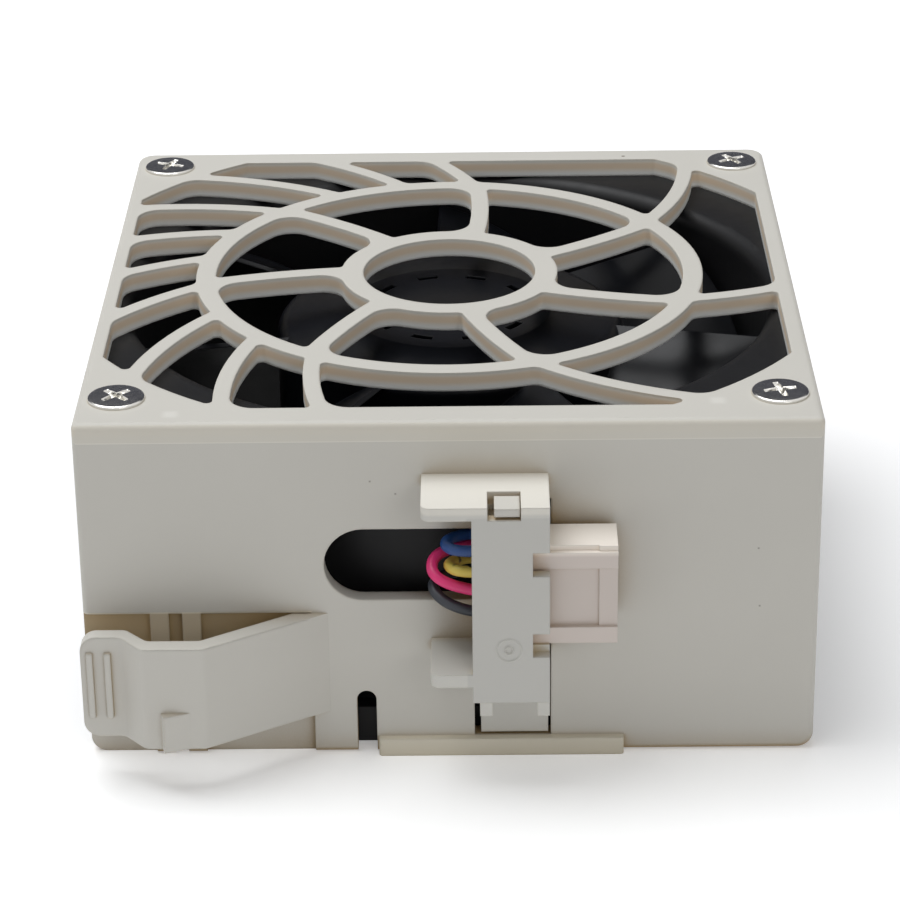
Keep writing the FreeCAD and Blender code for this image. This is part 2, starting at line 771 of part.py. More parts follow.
def grille_cells():
    """All openings of the grille: the hub hole, seven inner cells and thirteen outer ones."""
    inner_ring = plate_disc(value("outer_ring_inner")).cut(plate_disc(value("hub_ring_outer")))
    count = int(value("inner_rib_count"))
    opened = inner_ring.cut([inner_rib(index) for index in range(count)])
    first = rounded_cell(opened.Solids[0], inner_corner)
    cells = [plate_disc(value("hub_ring_inner"))]
    for index in range(count):
        copy = first.copy()
        copy.rotate(Vector(), UP, index * 360 / count)
        cells.append(copy)
    window = Part.makeBox(
        value(f"{WINDOW_LEFT} + {WINDOW_RIGHT}"), value(f"{WINDOW_FRONT} + {WINDOW_BACK}"),
        value("plate_thickness"), Vector(-value(WINDOW_LEFT), -value(WINDOW_FRONT), value("fan_depth")))
    frame = window.common(plate_disc(value(WINDOW_ROUND))).cut(plate_disc(value("outer_ring_outer")))
    cells += [rounded_cell(cell, outer_corner) for cell in frame.cut(
        [outer_rib(angle) for angle in outer_rib_angles()]).Solids]
    return cells


# Screws: pan heads on the plate, shanks through plate and frame flange

def screws():
    def head_rim(edge):
        return near(edge.BoundBox.ZMin, value(f"{PLATE_TOP} + screw_head_height"))

    heads = []
    for index, (x, y) in enumerate(corner_places()):
        blank = cylinder(f"screw_blank_{index}", "screw_head_radius", PLATE_TOP,
                         f"{PLATE_TOP} + screw_head_height", x, y)
        head = fillet(f"screw_head_{index}", blank, "screw_head_rounding", head_rim)
        shank = cylinder(f"screw_shank_{index}", "screw_shank_radius",
                         f"{PLATE_TOP} - screw_shank_length", PLATE_TOP, x, y)
        depth = (f"{PLATE_TOP} + screw_head_height - screw_recess_depth", f"{PLATE_TOP} + screw_head_height")
        long = "screw_recess_length / 2"
        slim = "screw_recess_width / 2"
        recess = [box(f"screw_recess_{index}_{number}", (f"{x} - {wide}", f"{x} + {wide}"),
                      (f"{y} - {deep}", f"{y} + {deep}"), depth)
                  for number, (wide, deep) in enumerate(((long, slim), (slim, long)))]
        heads.append(cut(f"screw_{index}", fuse(f"screw_solid_{index}", head, shank), *recess))
    return node("screws", group("screw_set", heads))


# Latch arm: a sprung finger whose root sits on the wall beside the recess

def latch_arm():
    body = doc.addObject("PartDesign::Body", "latch_body")
    front = f"-{WALL_FACE} - latch_reach"
    rear = f"-{WALL_FACE} - latch_reach + latch_thickness"
    tab_front = f"-{WALL_FACE} - latch_tab_reach"
    tab_rear = f"-{WALL_FACE} - latch_tab_reach + latch_tab_thickness"
    outline = sketch(body, "latch_outline", "XY_Plane", (
        ("-latch_root", f"-{WALL_FACE}"), (f"-{LATCH_KNEE}", front), (f"-{LATCH_SHOULDER}", front),
        (f"-{LATCH_TAB}", tab_front), (f"-{LATCH_END}", tab_front), (f"-{LATCH_END}", tab_rear),
        (f"latch_tab_lag - {LATCH_TAB}", tab_rear), (f"latch_shoulder_lag - {LATCH_SHOULDER}", rear),
        (f"-{LATCH_KNEE} - latch_knee_lag", rear), ("-latch_root - latch_root_width", f"-{WALL_FACE}")),
        "latch_bottom")
    pad(body, outline, "latch_top - latch_bottom")

    def bend(edge):
        ends = ("-latch_root", "-latch_root - latch_root_width", f"-{LATCH_END}")
        return straight(edge, UP) and not any(near(edge.BoundBox.XMin, value(end)) for end in ends)

    def tab_corner(edge):
        return straight(edge, Vector(0, 1, 0)) and near(edge.BoundBox.XMin, -value(LATCH_END))

    bent = fillet("latch_bent", body, "latch_bend_radius", bend)
    finger = fillet("latch_finger", bent, "latch_tab_radius", tab_corner)
    return node("latch_arm", fuse("latch", finger, catch_wedge(), *grip_ribs()))


def catch_wedge():
    """The catch that snaps behind the chassis: steep on its outer side, a long ramp on the other."""
    body = doc.addObject("PartDesign::Body", "catch_body")
    face = f"-{WALL_FACE} - latch_reach"
    crest = f"{face} - catch_proud"
    inside = f"{face} + latch_thickness / 2"
    outline = sketch(body, "catch_outline", "XY_Plane", (
        ("-catch_left", inside), ("-catch_left", face), ("catch_rake - catch_left", crest),
        ("catch_width - catch_left", face), ("catch_width - catch_left", inside)), "latch_bottom")
    pad(body, outline, "catch_height")
    return body


def grip_ribs():
    """Two upright ribs on the finger tab."""
    face = f"-{WALL_FACE} - latch_tab_reach"
    return [box(f"grip_rib_{index}",
                (f"{index} * grip_rib_pitch + grip_rib_inset - {LATCH_END}",
                 f"{index} * grip_rib_pitch + grip_rib_inset + grip_rib_width - {LATCH_END}"),
                (f"{face} - grip_rib_proud", f"{face} + latch_tab_thickness / 2"),
                ("grip_rib_bottom", "grip_rib_top")) for index in range(2)]


# Connector bracket: front plate and two shelves against the wall, back plate in the wall's window

def connector_bracket():
    deep = (f"-{BRACKET_FRONT}", f"-{WALL_FACE}")
    plate = (f"-{BRACKET_FRONT}", f"-{BRACKET_FRONT} + bracket_wall")
    to_back = (f"-{BRACKET_FRONT}", f"-{BACK_PLATE_FRONT}")
    front = box("bracket_front", ("bracket_left", "bracket_right"), plate,
                ("front_plate_bottom", "bracket_top"))

    def front_corner(edge):
        spot = edge.BoundBox
        return straight(edge, UP) and near(spot.YMin, -value(BRACKET_FRONT)) and spot.XMin < 0

    shelves = []
    for name, left, low, high in (
            ("top_shelf", "top_shelf_left", "bracket_top - bracket_shelf", "bracket_top"),
            ("low_shelf", "low_shelf_left", "low_shelf_top - bracket_shelf", "low_shelf_top")):
        shelf = box(name + "_blank", (f"-{left}", "bracket_right"), deep, (low, high))
        shelves.append(fillet(name, shelf, "shelf_corner_radius", front_corner))
    back = box("bracket_back", ("back_plate_left", "bracket_right"),
               (f"-{BACK_PLATE_FRONT}", f"-{BACK_PLATE_FRONT} + back_plate_thickness"),
               ("back_plate_bottom", "back_plate_top"))
    connector_top = "connector_bottom + connector_height"
    webs = [box("web_above", ("back_plate_left", "bracket_right"), to_back,
                (connector_top, f"{connector_top} + web_thickness")),
            box("web_below", ("back_plate_left", "bracket_right"), to_back,
                ("connector_bottom - web_thickness", "connector_bottom"))]
    feet = [box(f"bracket_foot_{index}", (left, f"{left} + foot_width"),
                (f"-{BRACKET_FRONT} + bracket_wall - foot_depth", f"-{BRACKET_FRONT} + bracket_wall"),
                ("front_plate_bottom - foot_length", "front_plate_bottom"))
            for index, left in enumerate(("bracket_left + foot_inset", "bracket_right - foot_width"))]
    solid = fuse("bracket_solid", front, back, *shelves, *webs, *feet)
    snap_window = box("snap_window", ("snap_window_left", "snap_window_right"),
                      (f"-{BRACKET_FRONT}", f"-{BRACKET_FRONT} + snap_window_depth"),
                      ("bracket_top - bracket_shelf", "bracket_top"))
    sill = box("snap_window_sill", ("snap_window_left", "snap_window_right"), plate,
               ("bracket_top - snap_window_drop", "bracket_top"))
    notches = [box(f"edge_notch_{index}", ("bracket_right - notch_depth", "bracket_right"), plate,
                   (low, f"{low} + notch_height"))
               for index, low in enumerate(("upper_notch_bottom", "lower_notch_bottom"))]
    return node("connector_bracket", cut("bracket", solid, snap_window, sill, *notches))


# Connector housing and its contacts: four ways in a row, open towards +X

def way_height(index):
    """The height of one way of the connector, counted from below."""
    return (f"connector_bottom + connector_height / 2"
            f" + ({index} - (contact_count - 1) / 2) * contact_pitch")


WAY_MIDDLE = "(connector_front - connector_depth / 2)"


def connector_housing():
    face = ("-connector_front", "connector_depth - connector_front")
    tall = ("connector_bottom", "connector_bottom + connector_height")
    block = box("connector_block", ("connector_left", "connector_right"), face, tall)
    proud_face = ("-connector_front - key_rib_proud", "-connector_front")
    key_lows = ("connector_bottom",
                "connector_bottom + connector_height - key_rib_setback - key_rib_height")
    keys = [box(f"key_rib_{index}", ("connector_left", "connector_right"), proud_face,
                (low, f"{low} + key_rib_height"))
            for index, low in enumerate(key_lows)]
    band = box("mouth_band_rim", ("connector_right - mouth_band", "connector_right"),
               ("-connector_front - mouth_band_proud", "-connector_front"), tall)
    cavities = [box(f"cavity_{index}", ("connector_left", "connector_right"),
                    (f"-{WAY_MIDDLE} - cavity_width / 2", f"-{WAY_MIDDLE} + cavity_width / 2"),
                    (f"{way_height(index)} - cavity_width / 2", f"{way_height(index)} + cavity_width / 2"))
                for index in range(int(value("contact_count")))]
    return node("connector_housing", cut("connector", fuse("connector_solid", block, band, *keys), *cavities))


def contacts():
    """Box contacts that sit on the floor of their cavities, each closed where its lead is crimped."""
    pieces = []
    for index in range(int(value("contact_count"))):
        floor = f"{way_height(index)} - cavity_width / 2"
        middle = way_height(index)
        outside = box(f"contact_box_{index}", ("contact_start", "contact_start + contact_length"),
                      (f"-{WAY_MIDDLE} - contact_width / 2", f"-{WAY_MIDDLE} + contact_width / 2"),
                      (floor, f"{middle} + contact_width / 2"))
        inside = box(f"contact_bore_{index}",
                     ("contact_start + contact_length / 2", "contact_start + contact_length"),
                     (f"-{WAY_MIDDLE} - contact_width / 2 + contact_wall",
                      f"-{WAY_MIDDLE} + contact_width / 2 - contact_wall"),
                     (f"{middle} - contact_width / 2 + contact_wall",
                      f"{middle} + contact_width / 2 - contact_wall"))
        pieces.append(cut(f"contact_{index}", outside, inside))
    return node("contacts", group("contact_set", pieces))


# Leads

def lead_points(lead):
    """The whole route of a lead: terminal, strut channel, duct window, wire slot, connector."""
    angle = value("lead_strut_angle")
    outward = polar(1, angle)
    sideways = polar(lead["side"], angle + 90)
    level = UP * lead["level"]
    radii = (value(TERMINAL_RADIUS), value(f"({TERMINAL_RADIUS} + duct_radius) / 2"),
             value("duct_radius - lead_bend_inset"))
    points = [outward * radius + sideways + level for radius in radii]
    points[-1] += UP * value("lead_sway")
    points += [Vector(*spot) for spot in lead["route"]]
    middle = -value(WAY_MIDDLE)
    height = value(way_height(lead["row"]))
    return points + [Vector(value(end), middle, height) for end in ("connector_left", "contact_start")]


def lead_path(points):
    """Straight runs joined by tangent arcs, each as large as its two runs allow."""
    edges = []
    radii = []
    start = points[0]
    for before, corner, after in zip(points, points[1:], points[2:]):
        back = before - corner
        onward = after - corner
        reach = value("lead_arc_share") * min(back.Length, onward.Length)
        half_turn = (math.pi - back.getAngle(onward)) / 2
        radius = reach / math.tan(half_turn)
        inward = (back.normalize() + onward.normalize()).normalize()
        entry = corner + back * reach
        leave = corner + onward * reach
        middle = corner + inward * (radius / math.cos(half_turn) - radius)
        edges.append(Part.LineSegment(start, entry).toShape())
        edges.append(Part.Arc(entry, middle, leave).toShape())
        radii.append(radius)
        start = leave
    edges.append(Part.LineSegment(start, points[-1]).toShape())
    return Part.Wire(edges), radii


def lead_wire(name, lead):
    points = lead_points(lead)
    path, radii = lead_path(points)
    radius = value("lead_diameter") / 2
    section = Part.Wire(Part.makeCircle(radius, points[0], points[1] - points[0]))
    solid = path.makePipeShell([section], True, False)
    expected = math.pi * radius ** 2 * path.Length
    print(f"{name}: length {path.Length:.1f}, volume share {solid.Volume / expected:.4f}, radii",
          " ".join(f"{found:.1f}" for found in radii))
    return node(name, feature(name + "_tube", solid))


# Impeller: hub cup with a gently coned crown and wide swept blades

def impeller():
    hub_body = turned_body("hub_cup", (
        ("0", YOKE_TOP), (YOKE_RADIUS, YOKE_TOP), (YOKE_RADIUS, HUB_BOTTOM), ("hub_radius", HUB_BOTTOM),
        ("hub_radius", "hub_top - hub_crown_drop"), ("hub_crown_radius", "hub_top"), ("0", "hub_top")))

    def shoulder(edge):
        return near(edge.BoundBox.ZMin, value("hub_top - hub_crown_drop")) and near(
            edge.BoundBox.XMax, value("hub_radius"))

    hub = fillet("hub_rounded", hub_body, "hub_shoulder_radius", shoulder)
    slots = feature("hub_slots", Part.makeCompound([hub_slot(index) for index in
                                                    range(int(value("hub_slot_count")))]))
    blade = trimmed_blade()
    blades = []
    for index in range(int(value("blade_count"))):
        copy = blade.copy()
        copy.rotate(Vector(), UP, value("blade_phase") + index * 360 / value("blade_count"))
        blades.append(feature(f"blade_{index}", copy))
    moulding = fuse("impeller_moulding", cut("slotted_hub", hub, slots), *blades)
    moulding.Refine = False
    return node("impeller", moulding)


def hub_slot(index):
    """One shallow arc slot of the ring of balancing pockets in the crown."""
    top = value("hub_top")
    depth = value("hub_slot_depth")
    middle = value("hub_slot_circle")
    half = value("hub_slot_width") / 2
    span = value("hub_slot_span")
    floor = UP * (top - depth)
    sector = Part.makeCylinder(middle + half, depth, floor, UP, span).cut(
        Part.makeCylinder(middle - half, depth, floor))
    sector.rotate(Vector(), UP, value("hub_slot_phase") + index * 360 / value("hub_slot_count"))
    return sector


def blade_section(distance, sweep):
    """The outline of a blade in the plane at a distance from the axis: two arcs and blunt ends."""
    top = value("blade_top")
    bottom = top - value("blade_height")
    edge = value("blade_edge") / 2
    along = Vector(0, sweep, top - bottom).normalize()
    across = Vector(0, -along.z, along.y)
    lead = Vector(distance, sweep / 2, top)
    trail = Vector(distance, -sweep / 2, bottom)
    middle = (lead + trail) / 2 + across * value("blade_camber")
    half = value("blade_thickness") / 2
    upper = Part.Arc(trail + across * edge, middle + across * half, lead + across * edge)
    lower = Part.Arc(trail - across * edge, middle - across * half, lead - across * edge)
    edges = [upper, Part.LineSegment(upper.EndPoint, lower.EndPoint), lower,
             Part.LineSegment(lower.StartPoint, upper.StartPoint)]
    return Part.Wire(Part.__sortEdges__([found.toShape() for found in edges]))


def trimmed_blade():
    """One blade: a loft from inside the hub wall past the duct, cut by the hub and the tip circle."""
    tip = value("duct_radius - blade_tip_gap")
    root = value("hub_radius - hub_wall / 2")
    sections = [blade_section(root - value("blade_root_overrun"), value("blade_root_sweep")),
                blade_section(tip + value("blade_tip_overrun"), value("blade_tip_sweep"))]
    blank = Part.makeLoft(sections, True, True)
    height = value("hub_top")
    ring = Part.makeCylinder(tip, height).cut(Part.makeCylinder(root, height))
    return blank.common(ring)


# Rotor: yoke, magnet, shaft, spring and retaining ring

def rotor():
    inside = f"{YOKE_RADIUS} - yoke_wall"
    roof = f"{YOKE_TOP} - yoke_roof"
    boss = "shaft_radius + yoke_boss_wall"
    node("rotor_yoke", turned_body("yoke_cup", (
        ("shaft_radius", BOSS_BOTTOM), (boss, BOSS_BOTTOM), (boss, roof), (inside, roof),
        (inside, YOKE_BOTTOM), (YOKE_RADIUS, YOKE_BOTTOM), (YOKE_RADIUS, YOKE_TOP),
        ("shaft_radius", YOKE_TOP))))
    magnet_bottom = f"{YOKE_BOTTOM} + magnet_inset"
    node("rotor_magnet", tube("magnet_ring", inside, MAGNET_BORE, magnet_bottom,
                              f"{magnet_bottom} + magnet_height"))
    groove = "shaft_radius - retainer_groove_depth"
    groove_top = "lower_bearing_bottom - retainer_drop"
    groove_bottom = f"{groove_top} - retainer_thickness"
    node("shaft", turned_body("shaft_pin", (
        ("0", "shaft_bottom"), ("shaft_radius", "shaft_bottom"), ("shaft_radius", groove_bottom),
        (groove, groove_bottom), (groove, groove_top), ("shaft_radius", groove_top),
        ("shaft_radius", YOKE_TOP), ("0", YOKE_TOP))))
    ring = tube("retainer", "retainer_radius", groove, groove_bottom, groove_top)
    mouth = box("retainer_mouth", ("0", "retainer_radius"), (f"-({groove})", groove),
                (groove_bottom, groove_top))
    node("retaining_ring", cut("retainer_open", ring, mouth))
    node("preload_spring", feature("spring_coil", spring()))


def spring():
    """A coil spring that presses the upper inner ring away from the yoke's boss."""
    wire = value("spring_wire_radius")
    low = value("upper_bearing_bottom + bearing_height") + wire
    high = value(BOSS_BOTTOM) - wire
    radius = value("spring_radius")
    helix = Part.makeHelix((high - low) / value("spring_turns"), high - low, radius)
    helix.translate(UP * low)
    section = Part.Wire(Part.makeCircle(wire, Vector(radius, 0, low), Vector(0, 1, 0)))
    return Part.Wire(helix).makePipeShell([section], True, True)


# Ball bearings and their tube

def bearings():
    for side in ("lower", "upper"):
        low = f"{side}_bearing_bottom"
        high = f"{low} + bearing_height"
        middle = f"{low} + bearing_height / 2"
        race = doc.addObject("Part::Torus", f"{side}_race")
        race.setExpression("Radius1", bound(RACE_CIRCLE))
        race.setExpression("Radius2", bound("ball_radius + race_clearance"))
        place(race, z=middle)
        outer = tube(f"{side}_outer_blank", "bearing_radius", "bearing_radius - bearing_ring_wall", low, high)
        inner = tube(f"{side}_inner_blank", "shaft_radius + bearing_ring_wall", "shaft_radius", low, high)
        node(f"{side}_bearing_outer_ring", cut(f"{side}_outer_grooved", outer, race))
        node(f"{side}_bearing_inner_ring", cut(f"{side}_inner_grooved", inner, race))
        balls = []
        for index in range(int(value("ball_count"))):
            ball = doc.addObject("Part::Sphere", f"{side}_ball_{index}")
            ball.setExpression("Radius", bound("ball_radius"))
            place(ball, x=RACE_CIRCLE, z=middle)
            balls.append(turned(f"{side}_ball_turned_{index}", ball, f"{index} * 360 / ball_count"))
        node(f"{side}_bearing_balls", group(f"{side}_ball_set", balls))


def bearing_tube():
    """The tube that stands in the motor base, with a shoulder between the two bearings."""
    shoulder = "bearing_radius - tube_shoulder"
    shoulder_low = "lower_bearing_bottom + bearing_height"
    node("bearing_tube", turned_body("tube_turned", (
        ("bearing_radius", "base_floor"), (TUBE_RADIUS, "base_floor"), (TUBE_RADIUS, TUBE_TOP),
        ("bearing_radius", TUBE_TOP), ("bearing_radius", "upper_bearing_bottom"),
        (shoulder, "upper_bearing_bottom"), (shoulder, shoulder_low), ("bearing_radius", shoulder_low))))


# Stator: core with six teeth, insulator, windings, and the circuit board with the lead terminal

def star(name, extra):
    """The core's ring and teeth, grown by an extra on every side that the windings touch."""
    low = f"stator_bottom - ({extra})"
    high = f"stator_bottom + stator_height + ({extra})"
    ring = tube(name + "_ring", f"{TUBE_RADIUS} + stator_ring_wall + ({extra})", TUBE_RADIUS, low, high)
    half = f"(tooth_width / 2 + {extra})"
    teeth = [turned(f"{name}_tooth_{index}", box(
        f"{name}_bar_{index}", (f"{TUBE_RADIUS} + stator_ring_wall / 2", f"{STATOR_RADIUS} - shoe_depth"),
        (f"-{half}", half), (low, high)), f"{index} * 360 / stator_teeth")
        for index in range(int(value("stator_teeth")))]
    return fuse(name, ring, *teeth)


def stator():
    shoes = []
    for index in range(int(value("stator_teeth"))):
        sector = doc.addObject("Part::Cylinder", f"shoe_sector_{index}")
        sector.setExpression("Radius", bound(STATOR_RADIUS))
        sector.setExpression("Height", bound("stator_height"))
        sector.setExpression("Angle", bound("shoe_span"))
        place(sector, z="stator_bottom")
        bore = cylinder(f"shoe_bore_{index}", f"{STATOR_RADIUS} - shoe_depth",
                        "stator_bottom", "stator_bottom + stator_height")
        shoes.append(turned(f"shoe_{index}", cut(f"shoe_blank_{index}", sector, bore),
                            f"{index} * 360 / stator_teeth - shoe_span / 2"))
    core = fuse("core", star("core_star", "0"), *shoes)
    node("stator_core", core)
    node("stator_insulator", cut("insulator", star("insulator_star", "insulator_wall"), core))
    coils = []
    for index in range(int(value("stator_teeth"))):
        coils.append(turned(f"coil_{index}", winding(index), f"{index} * 360 / stator_teeth"))
    node("stator_windings", group("coils", coils))


def winding(index):
    """One coil round a tooth, outside the insulator and inside the shoe."""
    span = (f"{TUBE_RADIUS} + stator_ring_wall + insulator_wall + winding_gap",
            f"{STATOR_RADIUS} - shoe_depth - winding_gap")
    sides = []
    for extra in ("insulator_wall + winding_wall", "insulator_wall"):
        half = f"(tooth_width / 2 + {extra})"
        sides.append(box(f"winding_{index}_{len(sides)}", span, (f"-{half}", half),
                         (f"stator_bottom - ({extra})", f"stator_bottom + stator_height + {extra}")))
    return cut(f"winding_{index}", *sides)


def circuit_board():
    hole = f"{TUBE_RADIUS} + tube_socket_wall + board_hole_gap"
    disc = tube("board_disc", BOARD_RADIUS, hole, BOARD_BOTTOM, BOARD_TOP)
    terminal = turned("lead_terminal", box(
        "terminal_block", (f"{TERMINAL_RADIUS} - terminal_depth", TERMINAL_RADIUS),
        ("-terminal_width / 2", "terminal_width / 2"), (BOARD_TOP, f"{BOARD_TOP} + terminal_height")),
        "lead_strut_angle")
    node("circuit_board", fuse("board", disc, terminal))


# Build, check and write every piece

def build():
    fill_sheet()
    fan_frame()
    housing()
    screws()
    latch_arm()
    connector_bracket()
    connector_housing()
    contacts()
    for colour, lead in LEADS.items():
        lead_wire(f"wire_{colour}", lead)
    impeller()
    rotor()
    bearings()
    bearing_tube()
    stator()
    circuit_board()
    doc.recompute()


def write_pieces():
    failed = [obj.Name for obj in doc.Objects if "Invalid" in obj.State or "Error" in obj.State]
    if failed:
        raise RuntimeError(f"objects in error: {failed}")
    os.makedirs("parts", exist_ok=True)
    for name, obj in nodes.items():
        shape = obj.Shape
        if shape.isNull() or not shape.isValid() or not shape.Solids:
            raise RuntimeError(f"{name} has no valid solid")
        shape.exportStep(f"parts/{name}.step")
        print(f"{name}: {len(shape.Solids)} solid(s), {shape.Volume:.0f} cubic mm")


build()
write_pieces()
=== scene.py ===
# %% [markdown]
# # An 80 mm server fan module
#
# The object is a beige L-shaped moulding with a swirl grille on top and a connector wall in front,
# with a black axial fan screwed underneath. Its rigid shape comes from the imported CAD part. Here it
# gets its camera, the four leads, the small pressed and moulded details, and its finishes.

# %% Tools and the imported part

import json
import math

import bmesh
import bpy
import numpy as np
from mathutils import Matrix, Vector


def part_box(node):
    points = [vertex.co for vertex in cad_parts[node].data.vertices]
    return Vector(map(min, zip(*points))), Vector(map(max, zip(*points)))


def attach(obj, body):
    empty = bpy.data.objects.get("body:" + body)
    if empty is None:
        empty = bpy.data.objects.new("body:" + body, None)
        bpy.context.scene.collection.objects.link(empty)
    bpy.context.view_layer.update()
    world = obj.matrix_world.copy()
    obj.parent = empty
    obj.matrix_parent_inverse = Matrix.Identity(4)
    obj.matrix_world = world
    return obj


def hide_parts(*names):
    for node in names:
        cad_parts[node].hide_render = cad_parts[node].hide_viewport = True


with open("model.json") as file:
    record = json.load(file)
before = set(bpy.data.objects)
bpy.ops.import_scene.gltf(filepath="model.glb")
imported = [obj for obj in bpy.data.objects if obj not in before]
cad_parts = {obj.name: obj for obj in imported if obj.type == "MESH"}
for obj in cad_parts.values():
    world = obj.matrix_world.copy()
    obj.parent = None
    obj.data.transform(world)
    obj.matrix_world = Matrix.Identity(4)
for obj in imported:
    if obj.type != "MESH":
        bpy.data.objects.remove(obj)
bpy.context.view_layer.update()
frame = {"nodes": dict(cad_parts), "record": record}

MM = 0.001

nodes = frame["nodes"]
plate_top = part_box("housing")[1].z
print("nodes:", len(nodes), "plate top at", round(plate_top / MM, 2), "mm")

# %% [markdown]
# ## Camera
#
# The photograph is a catalogue picture from the front and above. Its camera was found from the
# corners of the plate and the wall: a long lens, a little to the right of the middle, that looks
# down by 25 degrees. The camera is made first, so that each piece is judged in the same view.

# %% Camera

CAMERA_PLACE = Vector((3.253, -356.855, 184.903)) * MM
CAMERA_TURN = [math.radians(angle) for angle in (64.791, 0.694, 0.228)]
LENS = 130.9
NEAREST_SEEN = 10 * MM

camera_data = bpy.data.cameras.new("camera")
camera_data.lens = LENS
camera_data.clip_start = NEAREST_SEEN
camera = bpy.data.objects.new("camera", camera_data)
camera.location = CAMERA_PLACE
camera.rotation_euler = CAMERA_TURN
bpy.context.scene.collection.objects.link(camera)
bpy.context.scene.camera = camera
bpy.context.scene.view_settings.view_transform = "Standard"
print("camera looks down by", round(90 - math.degrees(CAMERA_TURN[0]), 1), "degrees")

# %% [markdown]
# ## Leads
#
# Four PVC insulated leads come up beside the duct, out of the slot in the wall, and turn in a
# hairpin into the connector. A lead is one smooth line with a round section, so each is a curve
# with a bevel. The line is a NURBS spline whose control points are the corners of the CAD route:
# the spline stays close to the bends, and is smooth where a polyline would show kinks. The route's
# first part runs in the channel of a strut under the fan, which leaves the motor at an angle.
#
# In the table, side and level place a lead in that channel, way is the height of its way in the
# connector, and route lists the points between, all in millimetres.

# %% Routes of the leads

LEAD_DIAMETER = 1.25 * MM
CHANNEL_ANGLE = math.radians(-62.0)
CHANNEL_RADII = (15.4, 26.4, 35.9)
CHANNEL_SWAY = 0.12
WAY_DEPTH = -46.15
WAY_ENDS = (3.6, 8.0)

LEADS = {
    "blue": {
        "side": 0.78, "level": 6.9, "way": 26.71,
        "route": ((20.6, -36.6, 7.2), (22.4, -38.6, 11.0), (18.6, -39.3, 18.0), (10.8, -39.7, 24.0),
                  (4.8, -40.0, 25.9), (0.9, -41.0, 26.1), (-0.7, -43.4, 26.3), (0.4, -45.7, 26.5)),
    },
    "red": {
        "side": 0.78, "level": 5.35, "way": 21.63,
        "route": ((20.0, -36.8, 5.5), (20.4, -38.9, 9.0), (16.8, -39.3, 15.6), (10.9, -39.6, 21.8),
                  (5.0, -39.9, 24.4), (0.6, -40.8, 24.7), (-2.1, -42.8, 24.2), (-1.6, -45.3, 22.8)),
    },
    "yellow": {
        "side": -0.78, "level": 6.9, "way": 24.17,
        "route": ((18.5, -37.0, 7.4), (17.6, -38.9, 10.6), (13.9, -39.3, 16.0), (8.9, -39.7, 21.0),
                  (4.4, -40.0, 23.0), (1.2, -41.2, 23.3), (-0.3, -43.4, 23.8), (0.6, -45.7, 24.1)),
    },
    "black": {
        "side": -0.78, "level": 5.35, "way": 19.09,
        "route": ((18.3, -37.2, 5.5), (15.9, -38.9, 8.8), (11.8, -39.4, 14.0), (7.6, -39.7, 19.2),
                  (3.6, -40.1, 21.4), (-0.4, -41.4, 21.8), (-2.2, -43.8, 21.4), (-0.4, -45.9, 20.2)),
    },
}


def lead_points(lead):
    """Three points along the channel's direction, offset to one side of it, then the listed route,
    then two points on the axis of the lead's connector way. The result is in metres."""
    outward = np.array((math.cos(CHANNEL_ANGLE), math.sin(CHANNEL_ANGLE), 0))
    sideways = np.array((-outward[1], outward[0], 0))
    offset = sideways * lead["side"] + (0, 0, lead["level"])
    channel = [outward * radius + offset for radius in CHANNEL_RADII]
    channel[-1][2] += CHANNEL_SWAY
    way = [(end, WAY_DEPTH, lead["way"]) for end in WAY_ENDS]
    return np.array([*channel, *lead["route"], *way]) * MM


# %% Lead curves

def lead_curve(name, points):
    """A NURBS line of order 3 through the control points, with a round section swept along it.
    The section's radius is the bevel times the points' own radius. That one is a millimetre, since
    the curve's bounds grow by it."""
    data = bpy.data.curves.new(name, "CURVE")
    data.dimensions = "3D"
    data.resolution_u = 16
    data.bevel_depth = LEAD_DIAMETER / 2 / MM
    data.bevel_resolution = 5
    data.use_fill_caps = True
    spline = data.splines.new("NURBS")
    spline.points.add(len(points) - 1)
    spline.points.foreach_set("co", np.c_[points, np.ones(len(points))].ravel())
    spline.points.foreach_set("radius", np.full(len(points), MM))
    spline.order_u = 3
    spline.use_endpoint_u = True
    curve = bpy.data.objects.new(name, data)
    bpy.context.scene.collection.objects.link(curve)
    return curve


leads = {}
for colour, lead in LEADS.items():
    curve = lead_curve(f"lead_{colour}", lead_points(lead))
    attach(curve, "module")
    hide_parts(f"wire_{colour}")
    leads[colour] = curve
print("leads:", ", ".join(leads))

# %% [markdown]
# ## Surfaces on a grid
#
# Every new piece is a surface over two parameters, such as the radius and the angle of a screw
# head. A grid of such points becomes a mesh when each cell is closed by one face. Where the grid
# meets itself, at a seam or a pole, points lie on each other, so they are welded afterwards.

# %% Grids to meshes

SHARP_ANGLE = math.radians(38)
WELD = 0.002 * MM


def surface(name, grids):
    """One mesh from several grids. Each grid is three arrays of one shape, x, y and z in metres."""
    corners, faces, count = [], [], 0
    for x, y, z in grids:
        rows, columns = x.shape
        index = count + np.arange(rows * columns).reshape(rows, columns)
        cells = (index[:-1, :-1], index[:-1, 1:], index[1:, 1:], index[1:, :-1])
        corners.append(np.stack((x, y, z), axis=-1).reshape(-1, 3))
        faces.append(np.stack(cells, axis=-1).reshape(-1, 4))
        count += rows * columns
    mesh = bpy.data.meshes.new(name)
    mesh.from_pydata(np.concatenate(corners), [], np.concatenate(faces))
    form = bmesh.new()
    form.from_mesh(mesh)
    bmesh.ops.remove_doubles(form, verts=form.verts, dist=WELD)
    bmesh.ops.recalc_face_normals(form, faces=form.faces)
    form.to_mesh(mesh)
    form.free()
    mesh.shade_smooth()
    mesh.set_sharp_from_angle(angle=SHARP_ANGLE)
    obj = bpy.data.objects.new(name, mesh)
    bpy.context.scene.collection.objects.link(obj)
    return obj


